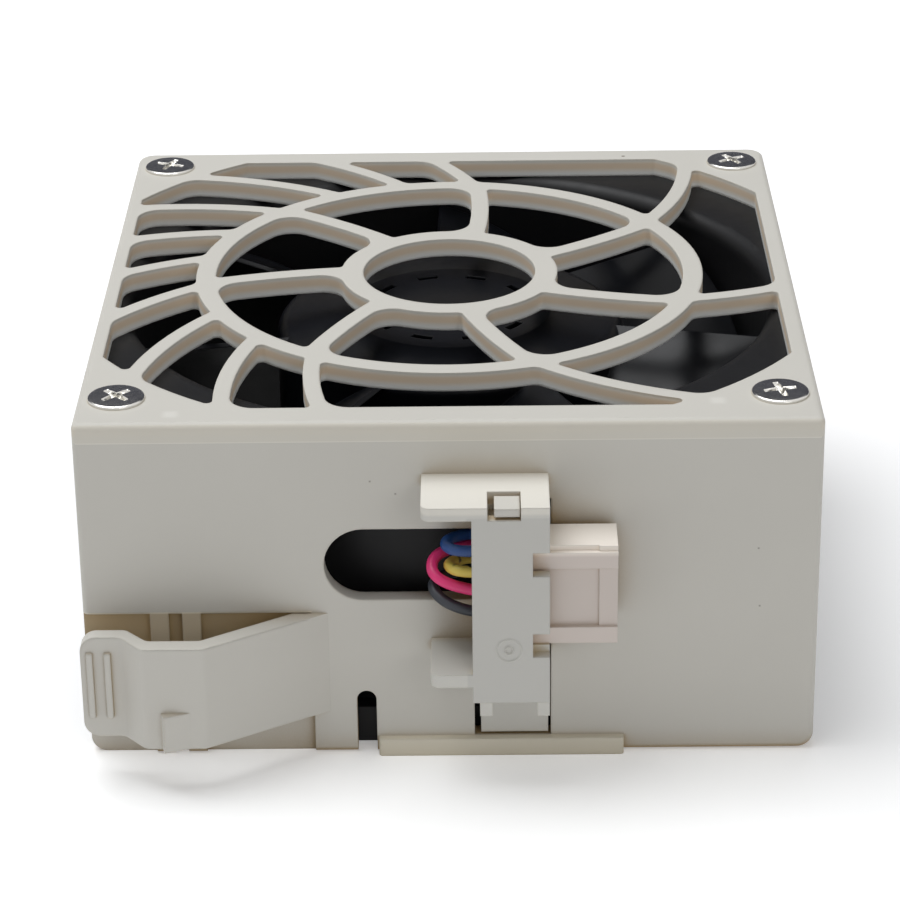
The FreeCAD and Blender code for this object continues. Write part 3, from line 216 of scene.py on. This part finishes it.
# %% [markdown]
# ## Screws
#
# Four thin pan heads of nickel-plated steel hold the fan under the plate. A turned profile gives
# the head and shank: nearly flat on top, rounded at the rim. The driver's recess is pressed into
# it, a cross whose wings get shallower outwards, and its slanted walls are what flashes in the
# light. So the height over the head is the profile less the recess, worked out at every point,
# and each head stands at its own angle, as a hand leaves it.

# %% Profile of a screw

HEAD_RADIUS = 3.1
HEAD_HEIGHT = 0.5
CROWN_RADIUS = 2.75
CROWN_FALL = 0.1
RIM_HEIGHT = 0.2
SHANK_RADIUS = 2.1
SHANK_LENGTH = 9.0
SHANK_CHAMFER = 0.4
CROWN_STEPS = 64
RIM_STEPS = 7


def screw_profile():
    """Radius and height from the middle of the crown over the rounded rim and the flat underside,
    then down the shank to its chamfered end."""
    crown = np.linspace(0, CROWN_RADIUS, CROWN_STEPS)
    arc = np.radians(np.linspace(0, 90, RIM_STEPS)[1:])
    rim = CROWN_RADIUS + (HEAD_RADIUS - CROWN_RADIUS) * np.sin(arc)
    radius = np.concatenate((crown, rim, [HEAD_RADIUS, SHANK_RADIUS, SHANK_RADIUS,
                                          SHANK_RADIUS - SHANK_CHAMFER, 0]))
    height = np.concatenate((HEAD_HEIGHT - CROWN_FALL * (crown / CROWN_RADIUS) ** 2,
                             RIM_HEIGHT + RIM_HEIGHT * np.cos(arc),
                             [0, 0, SHANK_CHAMFER - SHANK_LENGTH, -SHANK_LENGTH, -SHANK_LENGTH]))
    return radius, height


# %% Driver's cross

WING_REACH = 1.75
WING_SHALLOW = 0.22
WING_DEEPER = 0.75
WING_HALF_WIDTH = 0.44
WING_TAPER = 0.07
WING_WALL = 0.16
WING_LENGTH = 1.85
WING_END = 0.2


def wing(along, across):
    """How deep one wing is: its floor rises linearly outwards, and slanted walls and ends close it."""
    floor = WING_SHALLOW + WING_DEEPER * (1 - np.abs(along) / WING_REACH)
    wall = (WING_HALF_WIDTH - WING_TAPER * np.abs(along) - np.abs(across)) / WING_WALL
    end = (WING_LENGTH - np.abs(along)) / WING_END
    return floor * np.clip(np.minimum(wall, end), 0, 1)


def cross_recess(u, v):
    """How deep the cross lies at a place: the deeper of its two wings counts."""
    return np.maximum(wing(u, v), wing(v, u))


# %% Screw heads

SCREW_PITCH = 71.5
SCREW_STEPS = 181
SCREW_TURNS = {(-1, -1): 44, (1, -1): 14, (-1, 1): 68, (1, 1): 31}


def screw_grid(side_x, side_y, turn):
    """The profile turned once round, at one corner of the plate, with the cross at this turn."""
    radius, height = screw_profile()
    angle = np.radians(np.linspace(0, 360, SCREW_STEPS))
    x = radius[:, None] * np.cos(angle)
    y = radius[:, None] * np.sin(angle)
    z = height[:, None] + np.zeros_like(x)
    cos, sin = math.cos(math.radians(turn)), math.sin(math.radians(turn))
    top = slice(0, CROWN_STEPS)
    z[top] -= cross_recess(x[top] * cos + y[top] * sin, y[top] * cos - x[top] * sin)
    half = SCREW_PITCH / 2
    return (x + side_x * half) * MM, (y + side_y * half) * MM, z * MM + plate_top


screws = surface("screw_set", [screw_grid(*side, turn) for side, turn in SCREW_TURNS.items()])
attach(screws, "module")
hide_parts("screws")
print("screws:", len(screws.data.polygons), "faces")

# %% [markdown]
# ## Gate mark
#
# Moulded parts carry the scar of the gate where the plastic went in: here two low rings on the
# bracket's front plate. It is a disc whose height rises in a bell at each ring's radius. A texture
# could fake it, but a real ridge catches the light in the right place from every side. The flat of
# the disc lies a hair inside the plate, so that only the rings come out of it.

# %% Gate mark on the bracket

GATE_PLACE = (6.28, 17.3)
GATE_RINGS = ((1.32, 0.14), (0.45, 0.2))
GATE_BELL = 0.1
GATE_DISC = 1.62
GATE_LAST_RISE = 1.6
GATE_SINK = 0.01
bracket_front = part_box("connector_bracket")[0].y


def gate_mark():
    """A disc in the plane of the front plate, raised by one narrow bell for each ring."""
    distances = np.linspace(0, GATE_DISC, 40)
    radius, angle = np.meshgrid(distances, np.radians(np.linspace(0, 360, 73)), indexing="ij")
    rise = sum(height * np.exp(-((radius - ring) / GATE_BELL) ** 2) for ring, height in GATE_RINGS)
    rise = rise * (radius < GATE_LAST_RISE) - GATE_SINK
    x = (GATE_PLACE[0] + radius * np.cos(angle)) * MM
    z = (GATE_PLACE[1] + radius * np.sin(angle)) * MM
    return x, bracket_front - rise * MM, z


gate = surface("gate_mark", [gate_mark()])
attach(gate, "module")
print("gate mark:", len(gate.data.polygons), "faces")

# %% [markdown]
# ## A small language for materials
#
# Each finish is a few lines of shader arithmetic on the place of a point: noise that is scaled,
# masked and mixed. Written with node names and links it would be long, so one class wraps an
# output socket. An expression on such sockets adds the Math nodes for it, and any other node comes
# from one method that takes its type, its settings and the values of its sockets.

# %% Sockets that can be calculated with

class Socket:
    """The output of a node, which can be calculated with like a number."""

    def __init__(self, tree, output):
        self.tree = tree
        self.output = output

    def node(self, kind, values=None, output=0, **settings):
        """Any node: its settings first, then the values of its sockets."""
        made = self.tree.nodes.new(kind)
        for key, setting in settings.items():
            setattr(made, key, setting)
        for key, given in (values or {}).items():
            if isinstance(given, Socket):
                self.tree.links.new(given.output, made.inputs[key])
            else:
                made.inputs[key].default_value = given
        return Socket(self.tree, made.outputs[output])

    def math(self, operation, first, second):
        return self.node("ShaderNodeMath", {0: first, 1: second}, operation=operation)

    def __add__(self, other):
        return self.math("ADD", self, other)

    def __mul__(self, other):
        return self.math("MULTIPLY", self, other)

    def __sub__(self, other):
        return self.math("SUBTRACT", self, other)

    def __rsub__(self, other):
        return self.math("SUBTRACT", other, self)

    __radd__ = __add__
    __rmul__ = __mul__

    def noise(self, waves, detail, stretch=(1, 1, 1)):
        """Smooth noise about 0.5 on this place, with so many waves to the metre and so many finer
        layers, drawn out by a stretch."""
        place = self.node("ShaderNodeVectorMath", {0: self, 1: stretch}, operation="MULTIPLY")
        return self.node("ShaderNodeTexNoise", {"Vector": place, "Scale": waves, "Detail": detail})

    def axis(self, index):
        return self.node("ShaderNodeSeparateXYZ", {0: self}, output=index)

    def ramp(self, low, high):
        """0 below the low value, 1 above the high one, and smooth between them."""
        return self.node("ShaderNodeMapRange", {"Value": self, "From Min": low, "From Max": high},
                         interpolation_type="SMOOTHSTEP")

    def inside(self, low, high, soft):
        """A mask on this place: 1 in the box between two corners, and 0 from the soft distance on
        outside it. All three are in millimetres."""
        mask = 1.0
        for index, (start, end) in enumerate(zip(low, high)):
            along = self.axis(index)
            after_start = along.ramp(float(start - soft) * MM, float(start) * MM)
            after_end = along.ramp(float(end) * MM, float(end + soft) * MM)
            mask = after_start * (1 - after_end) * mask
        return mask

    def mix(self, first, second):
        """The first colour where this mask is 0, the second where it is 1. The Mix node has its
        colours at the sockets 6 and 7, and puts theirs out at 2."""
        return self.node("ShaderNodeMix", {0: self, 6: first, 7: second}, output=2, data_type="RGBA")

    def bump(self, strength, distance, normal=None):
        """This height as a normal: the distance is how high a step from 0 to 1 stands, in metres."""
        values = {"Strength": strength, "Distance": distance, "Height": self}
        return self.node("ShaderNodeBump", values | ({"Normal": normal} if normal else {}))


# %% Materials and colours

def new_material(name):
    """A material with an empty tree, and the object's own coordinates as the place of a point."""
    material = bpy.data.materials.new(name)
    material.use_nodes = True
    material.node_tree.nodes.clear()
    coordinates = material.node_tree.nodes.new("ShaderNodeTexCoord")
    return material, Socket(material.node_tree, coordinates.outputs["Object"])


def finish_material(place, **values):
    """Join the shader to the material's output. A name such as base_color is the socket Base Color."""
    names = {"specular": "Specular IOR Level"}
    sockets = {names.get(key, key.replace("_", " ").title()): value for key, value in values.items()}
    shader = place.node("ShaderNodeBsdfPrincipled", sockets)
    out = place.tree.nodes.new("ShaderNodeOutputMaterial")
    place.tree.links.new(shader.output, out.inputs["Surface"])


def rgb(red, green, blue):
    """A colour from the 0 to 255 shades of a screen, as linear light."""
    shades = np.array((red, green, blue)) / 255
    linear = np.where(shades <= 0.04045, shades / 12.92, ((shades + 0.055) / 1.055) ** 2.4)
    return (*linear.tolist(), 1.0)


def cloudy(place, clouds, shade, steps):
    """A shade that drifts in soft clouds between two tones, given as steps from that shade."""
    tones = [rgb(*(min(255, part + step) for part in shade)) for step in steps]
    return place.noise(*clouds).mix(*tones)


# %% [markdown]
# ## Moulded plastics
#
# The housing is a glass-filled blend in warm grey-beige, with a fine matte texture. Crevices get
# painted shade: a shaded place is tinted brown by how much of the sky it sees, standing in for
# light that comes back brown from such slightly translucent plastic. No moulded edge is sharp: the
# mould's own rounding is smaller than the CAD's faces, so the finish bends the normal near each edge,
# and paints a pale highlight there, standing in for light that shines through.
#
# Here and below, a noise is named by what it draws, as its waves to the metre and its layers, and
# a bump by its strength and height.

# %% Pale plastics

CLOUDS = (55, 3)
CLOUD_STEPS = (-3, 3)
GRAIN = (2400, 2)
GRAIN_GLOSS = 0.14
GRAIN_BUMP = (0.3, 0.02 * MM)
PORES = (700, 1)
PORE_SHARE = 0.6
# The turn, strength and colour of the painted highlight near edges.
EDGE_TURN = (0.01, 0.25)
EDGE_HIGHLIGHT_STRENGTH = 0.45
PAINTED_HIGHLIGHT_COLOUR = (246, 240, 226)
# How much of the sky a place sees before it gets painted shade.
PAINTED_SHADE_SIGHT = (0.15, 0.8)
JOINED_SOFT = 0.2


def rounded_edges(place, radius, samples, joined=None):
    """The normal, bent near each edge as a rounding would. Inside the joined box no edge is."""
    rounding = radius * MM
    if joined:
        rounding = (1 - place.inside(*joined, JOINED_SOFT)) * rounding
    return place.node("ShaderNodeBevel", {"Radius": rounding}, samples=samples)


def painted_edge_highlight(place, rounded, colour):
    """The colour with a painted highlight, paler the more the bent normal turns away from the flat one.
    """
    flat = place.node("ShaderNodeNewGeometry", output="Normal")
    alike = place.node("ShaderNodeVectorMath", {0: rounded, 1: flat}, output="Value",
                       operation="DOT_PRODUCT")
    return ((1 - alike).ramp(*EDGE_TURN) * EDGE_HIGHLIGHT_STRENGTH).mix(colour, rgb(*PAINTED_HIGHLIGHT_COLOUR))


def moulded(name, shade, painted_crevice_shade, edge_radius, reach, gloss=0.5, marks=None, joined=None):
    """A plastic with cloudy colour, painted shade in crevices as deep as the reach, rounded edges with a
    painted highlight and a fine grain. Marks add what is on one piece only, painted light and shade too."""
    material, place = new_material(name)
    rounded = rounded_edges(place, edge_radius, 6, joined)
    # A painted highlight pales the colour near each edge.
    colour = painted_edge_highlight(place, rounded, cloudy(place, CLOUDS, shade, CLOUD_STEPS))
    # Painted shade: the colour turns brown in hollows where little of the sky is seen.
    seen = place.node("ShaderNodeAmbientOcclusion", {"Distance": reach * MM}, output="AO", samples=8)
    colour = seen.ramp(*PAINTED_SHADE_SIGHT).mix(rgb(*painted_crevice_shade), colour)
    if marks:
        colour = marks(place, colour)
    grain = place.noise(*GRAIN)
    height = grain + PORE_SHARE * place.noise(*PORES)
    finish_material(place, base_color=colour, roughness=gloss + GRAIN_GLOSS * grain,
                    normal=height.bump(*GRAIN_BUMP, rounded))
    return material


# %% [markdown]
# ## Marks, painted light and painted shade of the pale pieces
#
# Painted light stands in for light coming through the thin walls of the grille: tan under the rims,
# and pale again at the foot of each opening. The latch recess and its stop ribs get brown painted
# shade, with a painted highlight along the recess's top edge. A parting line of the mould runs along
# the wall level with the plate's underside, with a painted highlight as a warmer band above it, and
# the rail gets painted light. There are faint sink marks beside the front screws, a nick in the back
# margin, and four dark specks. The bracket and the connector get painted shade in front and painted
# light on top. Each is a tint in a soft box, because its place is known and its outline isn't sharp.

# %% Places of the marks, the painted light and the painted shade

# Painted light on the walls of the grille's openings: tan under the rims, pale at the foot.
PAINTED_LIGHT_ON_WALLS = ((-39.5, -42.0, 37.9), (39.5, 40.6, 39.8))
PAINTED_TAN_LIGHT_UNDER_RIMS = ((-39.5, -42.0, 39.15), (39.5, 40.6, 39.45))
PAINTED_LIGHT_AT_FOOT = ((-39.5, -42.0, 37.9), (39.5, 40.6, 38.3))
# Painted shade in the latch recess and on its stop ribs.
PAINTED_RECESS_SHADE = ((-40.5, -42.3, 11.0), (-15.0, -41.0, 17.5))
PAINTED_SHADE_ON_STOP_RIBS = ((-32.8, -42.6, 13.0), (-27.1, -42.4, 17.5))
# Painted highlights on the recess's top edge and on the wall's top band.
PAINTED_HIGHLIGHT_ON_RECESS_EDGE = ((-40.0, -42.6, 17.56), (-15.1, -42.3, 17.7))
PAINTED_HIGHLIGHT_ON_WALL_BAND = ((-40.2, -43.0, 38.1), (40.2, -42.2, 40.0))
PARTING_LINE = ((-39.6, -43.0, 37.98), (39.6, -42.2, 38.04))
# Painted light on the rail.
PAINTED_LIGHT_ON_RAIL = ((-8.1, -44.0, -1.0), (19.1, -42.7, 2.2))
LATCH_ROOT = ((-15.3, -44.0, 5.0), (-13.0, -42.3, 17.8))
# Painted shade on the fronts and painted light on the tops of the bracket and the connector.
PAINTED_SHADE_ON_BRACKET_FRONT = ((2.0, -51.6, 0.0), (11.0, -50.9, 32.8))
PAINTED_LIGHT_ON_BRACKET_TOP = ((-10.0, -52.0, 33.6), (11.0, -42.6, 35.0))
PAINTED_SHADE_ON_CONNECTOR_FRONT = ((3.0, -49.2, 16.0), (18.5, -48.4, 27.4))
PAINTED_LIGHT_ON_CONNECTOR_TOP = ((3.0, -50.0, 28.1), (18.5, -42.6, 29.0))


def spot(centre, half):
    """The corners of a small box about a point."""
    middle = np.array(centre)
    return middle - half, middle + half


NICK = spot((22.1, 38.4, 40.2), 0.12)
SINK_MARKS = [spot(place, 0.3) for place in ((-29.6, -39.9, 40.2), (28.9, -37.6, 40.2))]
SPECKS = [spot(place, 0.04) for place in ((-8.4, -42.5, 33.3), (-5.7, -42.5, 31.8),
                                          (33.3, -42.5, 24.9), (33.6, -42.5, 17.9))]

# %% Tints, painted light and painted shade in soft boxes

# The housing's own marks, with the painted light and shade laid among them.
HOUSING_MARKS_AND_PAINTED_LIGHT = (
    (PAINTED_LIGHT_ON_WALLS, 0.35, 0.85, (252, 248, 240)),
    (PAINTED_TAN_LIGHT_UNDER_RIMS, 0.6, 0.55, (240, 208, 164)),
    (PAINTED_LIGHT_AT_FOOT, 0.4, 0.7, (250, 253, 252)),
    (PAINTED_RECESS_SHADE, 0.15, 0.8, (176, 150, 104)),
    (PAINTED_SHADE_ON_STOP_RIBS, 0.2, 0.6, (196, 174, 134)),
    (PAINTED_HIGHLIGHT_ON_RECESS_EDGE, 0.06, 0.5, (236, 228, 206)),
    (PAINTED_HIGHLIGHT_ON_WALL_BAND, 0.12, 0.3, (230, 223, 206)),
    (PARTING_LINE, 0.06, 0.6, (232, 228, 218)),
    (PAINTED_LIGHT_ON_RAIL, 0.2, 0.6, (234, 226, 204)),
    (NICK, 0.15, 0.8, (96, 84, 66)),
    *((mark, 0.9, 0.3, (240, 238, 232)) for mark in SINK_MARKS),
    *((speck, 0.12, 0.6, (104, 98, 88)) for speck in SPECKS),
)
# Painted shade in front and painted light on top of the bracket.
BRACKET_PAINTED_LIGHT_AND_SHADE = (
    (PAINTED_SHADE_ON_BRACKET_FRONT, 0.3, 0.45, (184, 183, 179)),
    (PAINTED_LIGHT_ON_BRACKET_TOP, 0.5, 0.6, (238, 233, 222)),
)
# Painted shade in front and painted light on top of the connector.
CONNECTOR_PAINTED_LIGHT_AND_SHADE = (
    (PAINTED_SHADE_ON_CONNECTOR_FRONT, 0.3, 0.45, (194, 184, 176)),
    (PAINTED_LIGHT_ON_CONNECTOR_TOP, 0.6, 0.7, (250, 243, 232)),
)


def tinted(tints):
    """Marks that lay each tint in turn over the colour, by its softness and strength."""
    def marks(place, colour):
        for box, soft, strength, shade in tints:
            colour = (place.inside(*box, soft) * strength).mix(colour, rgb(*shade))
        return colour
    return marks


# %% [markdown]
# ## Dark plastics
#
# The fan's black plastic is nearly mirror smooth where the mould was polished, yet it mirrors only
# a little, so its gloss is low and its roughness is drawn out in soft streaks.

# %% Dark and hidden plastics

FAN_CLOUDS = (70, 3)
FAN_STEPS = (0, 4)
FAN_EDGE = 0.25
STREAKS = (500, 3, (1, 1, 0.12))
STREAK_GLOSS = 0.16
POLISH = (900, 2)
POLISH_BUMP = (0.2, 0.02 * MM)


def fan_plastic(name, shade, roughness, specular=0.5):
    """A plastic with soft streaks in its gloss, as the mould's polish leaves them."""
    material, place = new_material(name)
    finish_material(place, base_color=cloudy(place, FAN_CLOUDS, shade, FAN_STEPS),
                    roughness=roughness + STREAK_GLOSS * place.noise(*STREAKS), specular=specular,
                    normal=place.noise(*POLISH).bump(*POLISH_BUMP, rounded_edges(place, FAN_EDGE, 4)))
    return material


# %% [markdown]
# ## Metals and lead insulation
#
# Plated and ground steel differ in colour and in how wide their reflections spread. The leads'
# insulation is a soft, satin PVC. The yellow one carries dark printing, which is left as plain
# marks.

# %% Metals and insulation

METAL_CLOUDS = (400, 3)
METAL_STEPS = (0, 12)
METAL_GLOSS = (1500, 2)
METAL_GLOSS_SHARE = 0.12
METAL_GRAIN = (2500, 2)
METAL_BUMP = (0.12, 0.01 * MM)
PVC_CLOUDS = (300, 2)
PVC_STEPS = (0, 14)
PVC_ROUGHNESS = 0.3
PVC_GLOSS = (1200, 2)
PVC_GLOSS_SHARE = 0.14
PVC_GRAIN = (700, 2)
PVC_BUMP = (0.25, 0.03 * MM)
PRINT = (650, 1, (1, 0.4, 1))
PRINT_EDGE = (0.6, 0.66)
PRINT_SHADE = (74, 62, 40)


def metal(name, shade, roughness):
    """A plated or ground metal whose polish varies a little from place to place."""
    material, place = new_material(name)
    finish_material(place, base_color=cloudy(place, METAL_CLOUDS, shade, METAL_STEPS), metallic=1.0,
                    roughness=roughness + METAL_GLOSS_SHARE * place.noise(*METAL_GLOSS),
                    normal=place.noise(*METAL_GRAIN).bump(*METAL_BUMP))
    return material


def insulation(name, shade, marks=False):
    """A satin PVC, with small dark marks along the lead if it is printed."""
    material, place = new_material(name)
    colour = cloudy(place, PVC_CLOUDS, shade, PVC_STEPS)
    if marks:
        colour = place.noise(*PRINT).ramp(*PRINT_EDGE).mix(colour, rgb(*PRINT_SHADE))
    finish_material(place, base_color=colour,
                    roughness=PVC_ROUGHNESS + PVC_GLOSS_SHARE * place.noise(*PVC_GLOSS),
                    normal=place.noise(*PVC_GRAIN).bump(*PVC_BUMP))
    return material


# %% Finish of each material slot

FINISHES = {
    "housing_plastic": (moulded, dict(shade=(206, 203, 195), painted_crevice_shade=(165, 140, 98), edge_radius=0.45,
                                      reach=6.0, marks=tinted(HOUSING_MARKS_AND_PAINTED_LIGHT), joined=LATCH_ROOT)),
    "cream_plastic": (moulded, dict(shade=(208, 206, 199), painted_crevice_shade=(196, 178, 144), edge_radius=0.25,
                                    reach=2.8, marks=tinted(BRACKET_PAINTED_LIGHT_AND_SHADE))),
    "connector_plastic": (moulded, dict(shade=(222, 210, 202), painted_crevice_shade=(204, 176, 148), edge_radius=0.15,
                                        reach=2.5, gloss=0.4, marks=tinted(CONNECTOR_PAINTED_LIGHT_AND_SHADE))),
    "black_plastic": (fan_plastic, dict(shade=(8, 8, 10), roughness=0.42, specular=0.25)),
    "impeller_plastic": (fan_plastic, dict(shade=(10, 11, 15), roughness=0.24, specular=0.18)),
    "nickel_steel": (metal, dict(shade=(205, 203, 198), roughness=0.16)),
    "tin_plate": (metal, dict(shade=(200, 200, 198), roughness=0.3)),
    "yoke_steel": (metal, dict(shade=(150, 150, 150), roughness=0.35)),
    "ferrite": (fan_plastic, dict(shade=(52, 52, 55), roughness=0.55)),
    "ground_steel": (metal, dict(shade=(215, 215, 215), roughness=0.12)),
    "brass_tube": (metal, dict(shade=(205, 175, 105), roughness=0.25)),
    "core_steel": (metal, dict(shade=(120, 120, 125), roughness=0.4)),
    "insulator_plastic": (fan_plastic, dict(shade=(225, 225, 220), roughness=0.45)),
    "copper": (metal, dict(shade=(200, 115, 70), roughness=0.25)),
    "board_green": (fan_plastic, dict(shade=(20, 90, 50), roughness=0.4)),
    "blue_pvc": (insulation, dict(shade=(20, 66, 132))),
    "red_pvc": (insulation, dict(shade=(228, 48, 118))),
    "yellow_pvc": (insulation, dict(shade=(224, 200, 88), marks=True)),
    "black_pvc": (insulation, dict(shade=(40, 44, 52))),
}
finishes = {name: make(name, **values) for name, (make, values) in FINISHES.items()}


def paint(obj, material):
    obj.data.materials.clear()
    obj.data.materials.append(material)


for subpart in frame["record"]["subparts"]:
    paint(nodes[subpart["node"]], finishes[subpart["material_slot"]])
for colour, curve in leads.items():
    paint(curve, finishes[f"{colour}_pvc"])
paint(screws, finishes["nickel_steel"])
paint(gate, finishes["cream_plastic"])
print("finishes:", len(finishes))

# %% [markdown]
# ## Studio
#
# The catalogue picture is cut out on pure white. A white floor in lamplight comes out a shade
# darker than the sky behind it, so it gets a little glow of its own. Only the camera and mirrors
# see that glow: it lights nothing, and the object's soft shadow stays on the floor.

# %% Floor

FLOOR_HALF = 1.5
FLOOR_CLOUDS = (4, 1)
FLOOR_LEVELS = (0.93, 0.95)
FLOOR_ROUGHNESS = 0.9
FLOOR_GLOW = 0.25


def seen_directly(tree):
    """1 for what the camera sees, also in a mirror or through glass, and 0 for light on its way."""
    path = tree.nodes.new("ShaderNodeLightPath")
    camera_ray, *others = [Socket(tree, path.outputs[f"Is {kind} Ray"])
                           for kind in ("Camera", "Glossy", "Transmission")]
    return sum(others, camera_ray).ramp(0, 1)


def grey(level):
    return level, level, level, 1


def sheet(half_width, lengths):
    """A square net over a width about the middle and a length between two ends, in metres."""
    return np.meshgrid(np.linspace(-half_width, half_width, 9), np.linspace(*lengths, 9))


across, along = sheet(FLOOR_HALF, (-FLOOR_HALF, FLOOR_HALF))
floor = surface("floor", [(across, along, np.zeros_like(across))])
floor_material, place = new_material("floor_white")
finish_material(place, base_color=place.noise(*FLOOR_CLOUDS).mix(*map(grey, FLOOR_LEVELS)),
                roughness=FLOOR_ROUGHNESS, emission_strength=1.0,
                emission_color=seen_directly(place.tree).mix(grey(0), grey(FLOOR_GLOW)))
paint(floor, floor_material)
print("floor:", 2 * FLOOR_HALF, "m wide")

# %% World

AMBIENT = 0.3

world = bpy.data.worlds.new("studio")
bpy.context.scene.world = world
world.use_nodes = True
world.node_tree.nodes.clear()
seen = seen_directly(world.node_tree)
sky = seen.node("ShaderNodeBackground", {"Color": grey(1), "Strength": AMBIENT + (1 - AMBIENT) * seen})
out = world.node_tree.nodes.new("ShaderNodeOutputWorld")
world.node_tree.links.new(sky.output, out.inputs["Surface"])
print("ambient light:", AMBIENT)

# %% Lights

LIGHTS = {
    "top_box": dict(place=(-0.25, 0.15, 0.9), size=0.7, power=7.2, colour=(0.97, 0.985, 1.0)),
    "front_box": dict(place=(0.5, -1.0, 0.5), size=0.5, power=1.4, colour=(1, 1, 1)),
}


def soft_light(name, place, size, power, colour):
    """A square soft box at a place, facing the object. Place and size are in metres."""
    data = bpy.data.lights.new(name, "AREA")
    data.shape = "SQUARE"
    data.size = size
    data.energy = power
    data.color = colour
    light = bpy.data.objects.new(name, data)
    light.location = place
    light.rotation_euler = (-Vector(place)).to_track_quat("-Z", "Y").to_euler()
    bpy.context.scene.collection.objects.link(light)


for name, values in LIGHTS.items():
    soft_light(name, **values)
print("lights:", ", ".join(LIGHTS))

# %% [markdown]
# ## Dark card
#
# The screw heads and the black fan look dark in the photograph, with bright edges, so what they
# mirror there is dark: the unlit end of the studio. A grey card behind the object gives them the
# same to mirror. The camera itself doesn't see it.

# %% Card behind the object

CARD_PLACE = 1.1
CARD_HALF = 1.6
CARD_HEIGHTS = (0.12, 1.25)
CARD_CLOUDS = (3, 1)
CARD_SHADE = (80, 82, 94)
CARD_STEPS = (0, 12)
CARD_ROUGHNESS = 0.9

across, up = sheet(CARD_HALF, CARD_HEIGHTS)
card = surface("dark_card", [(across, CARD_PLACE + 0 * across, up)])
card.visible_camera = False
card_material, place = new_material("card_grey")
finish_material(place, base_color=cloudy(place, CARD_CLOUDS, CARD_SHADE, CARD_STEPS),
                roughness=CARD_ROUGHNESS)
paint(card, card_material)
print("card:", CARD_PLACE, "m behind the fan axis")
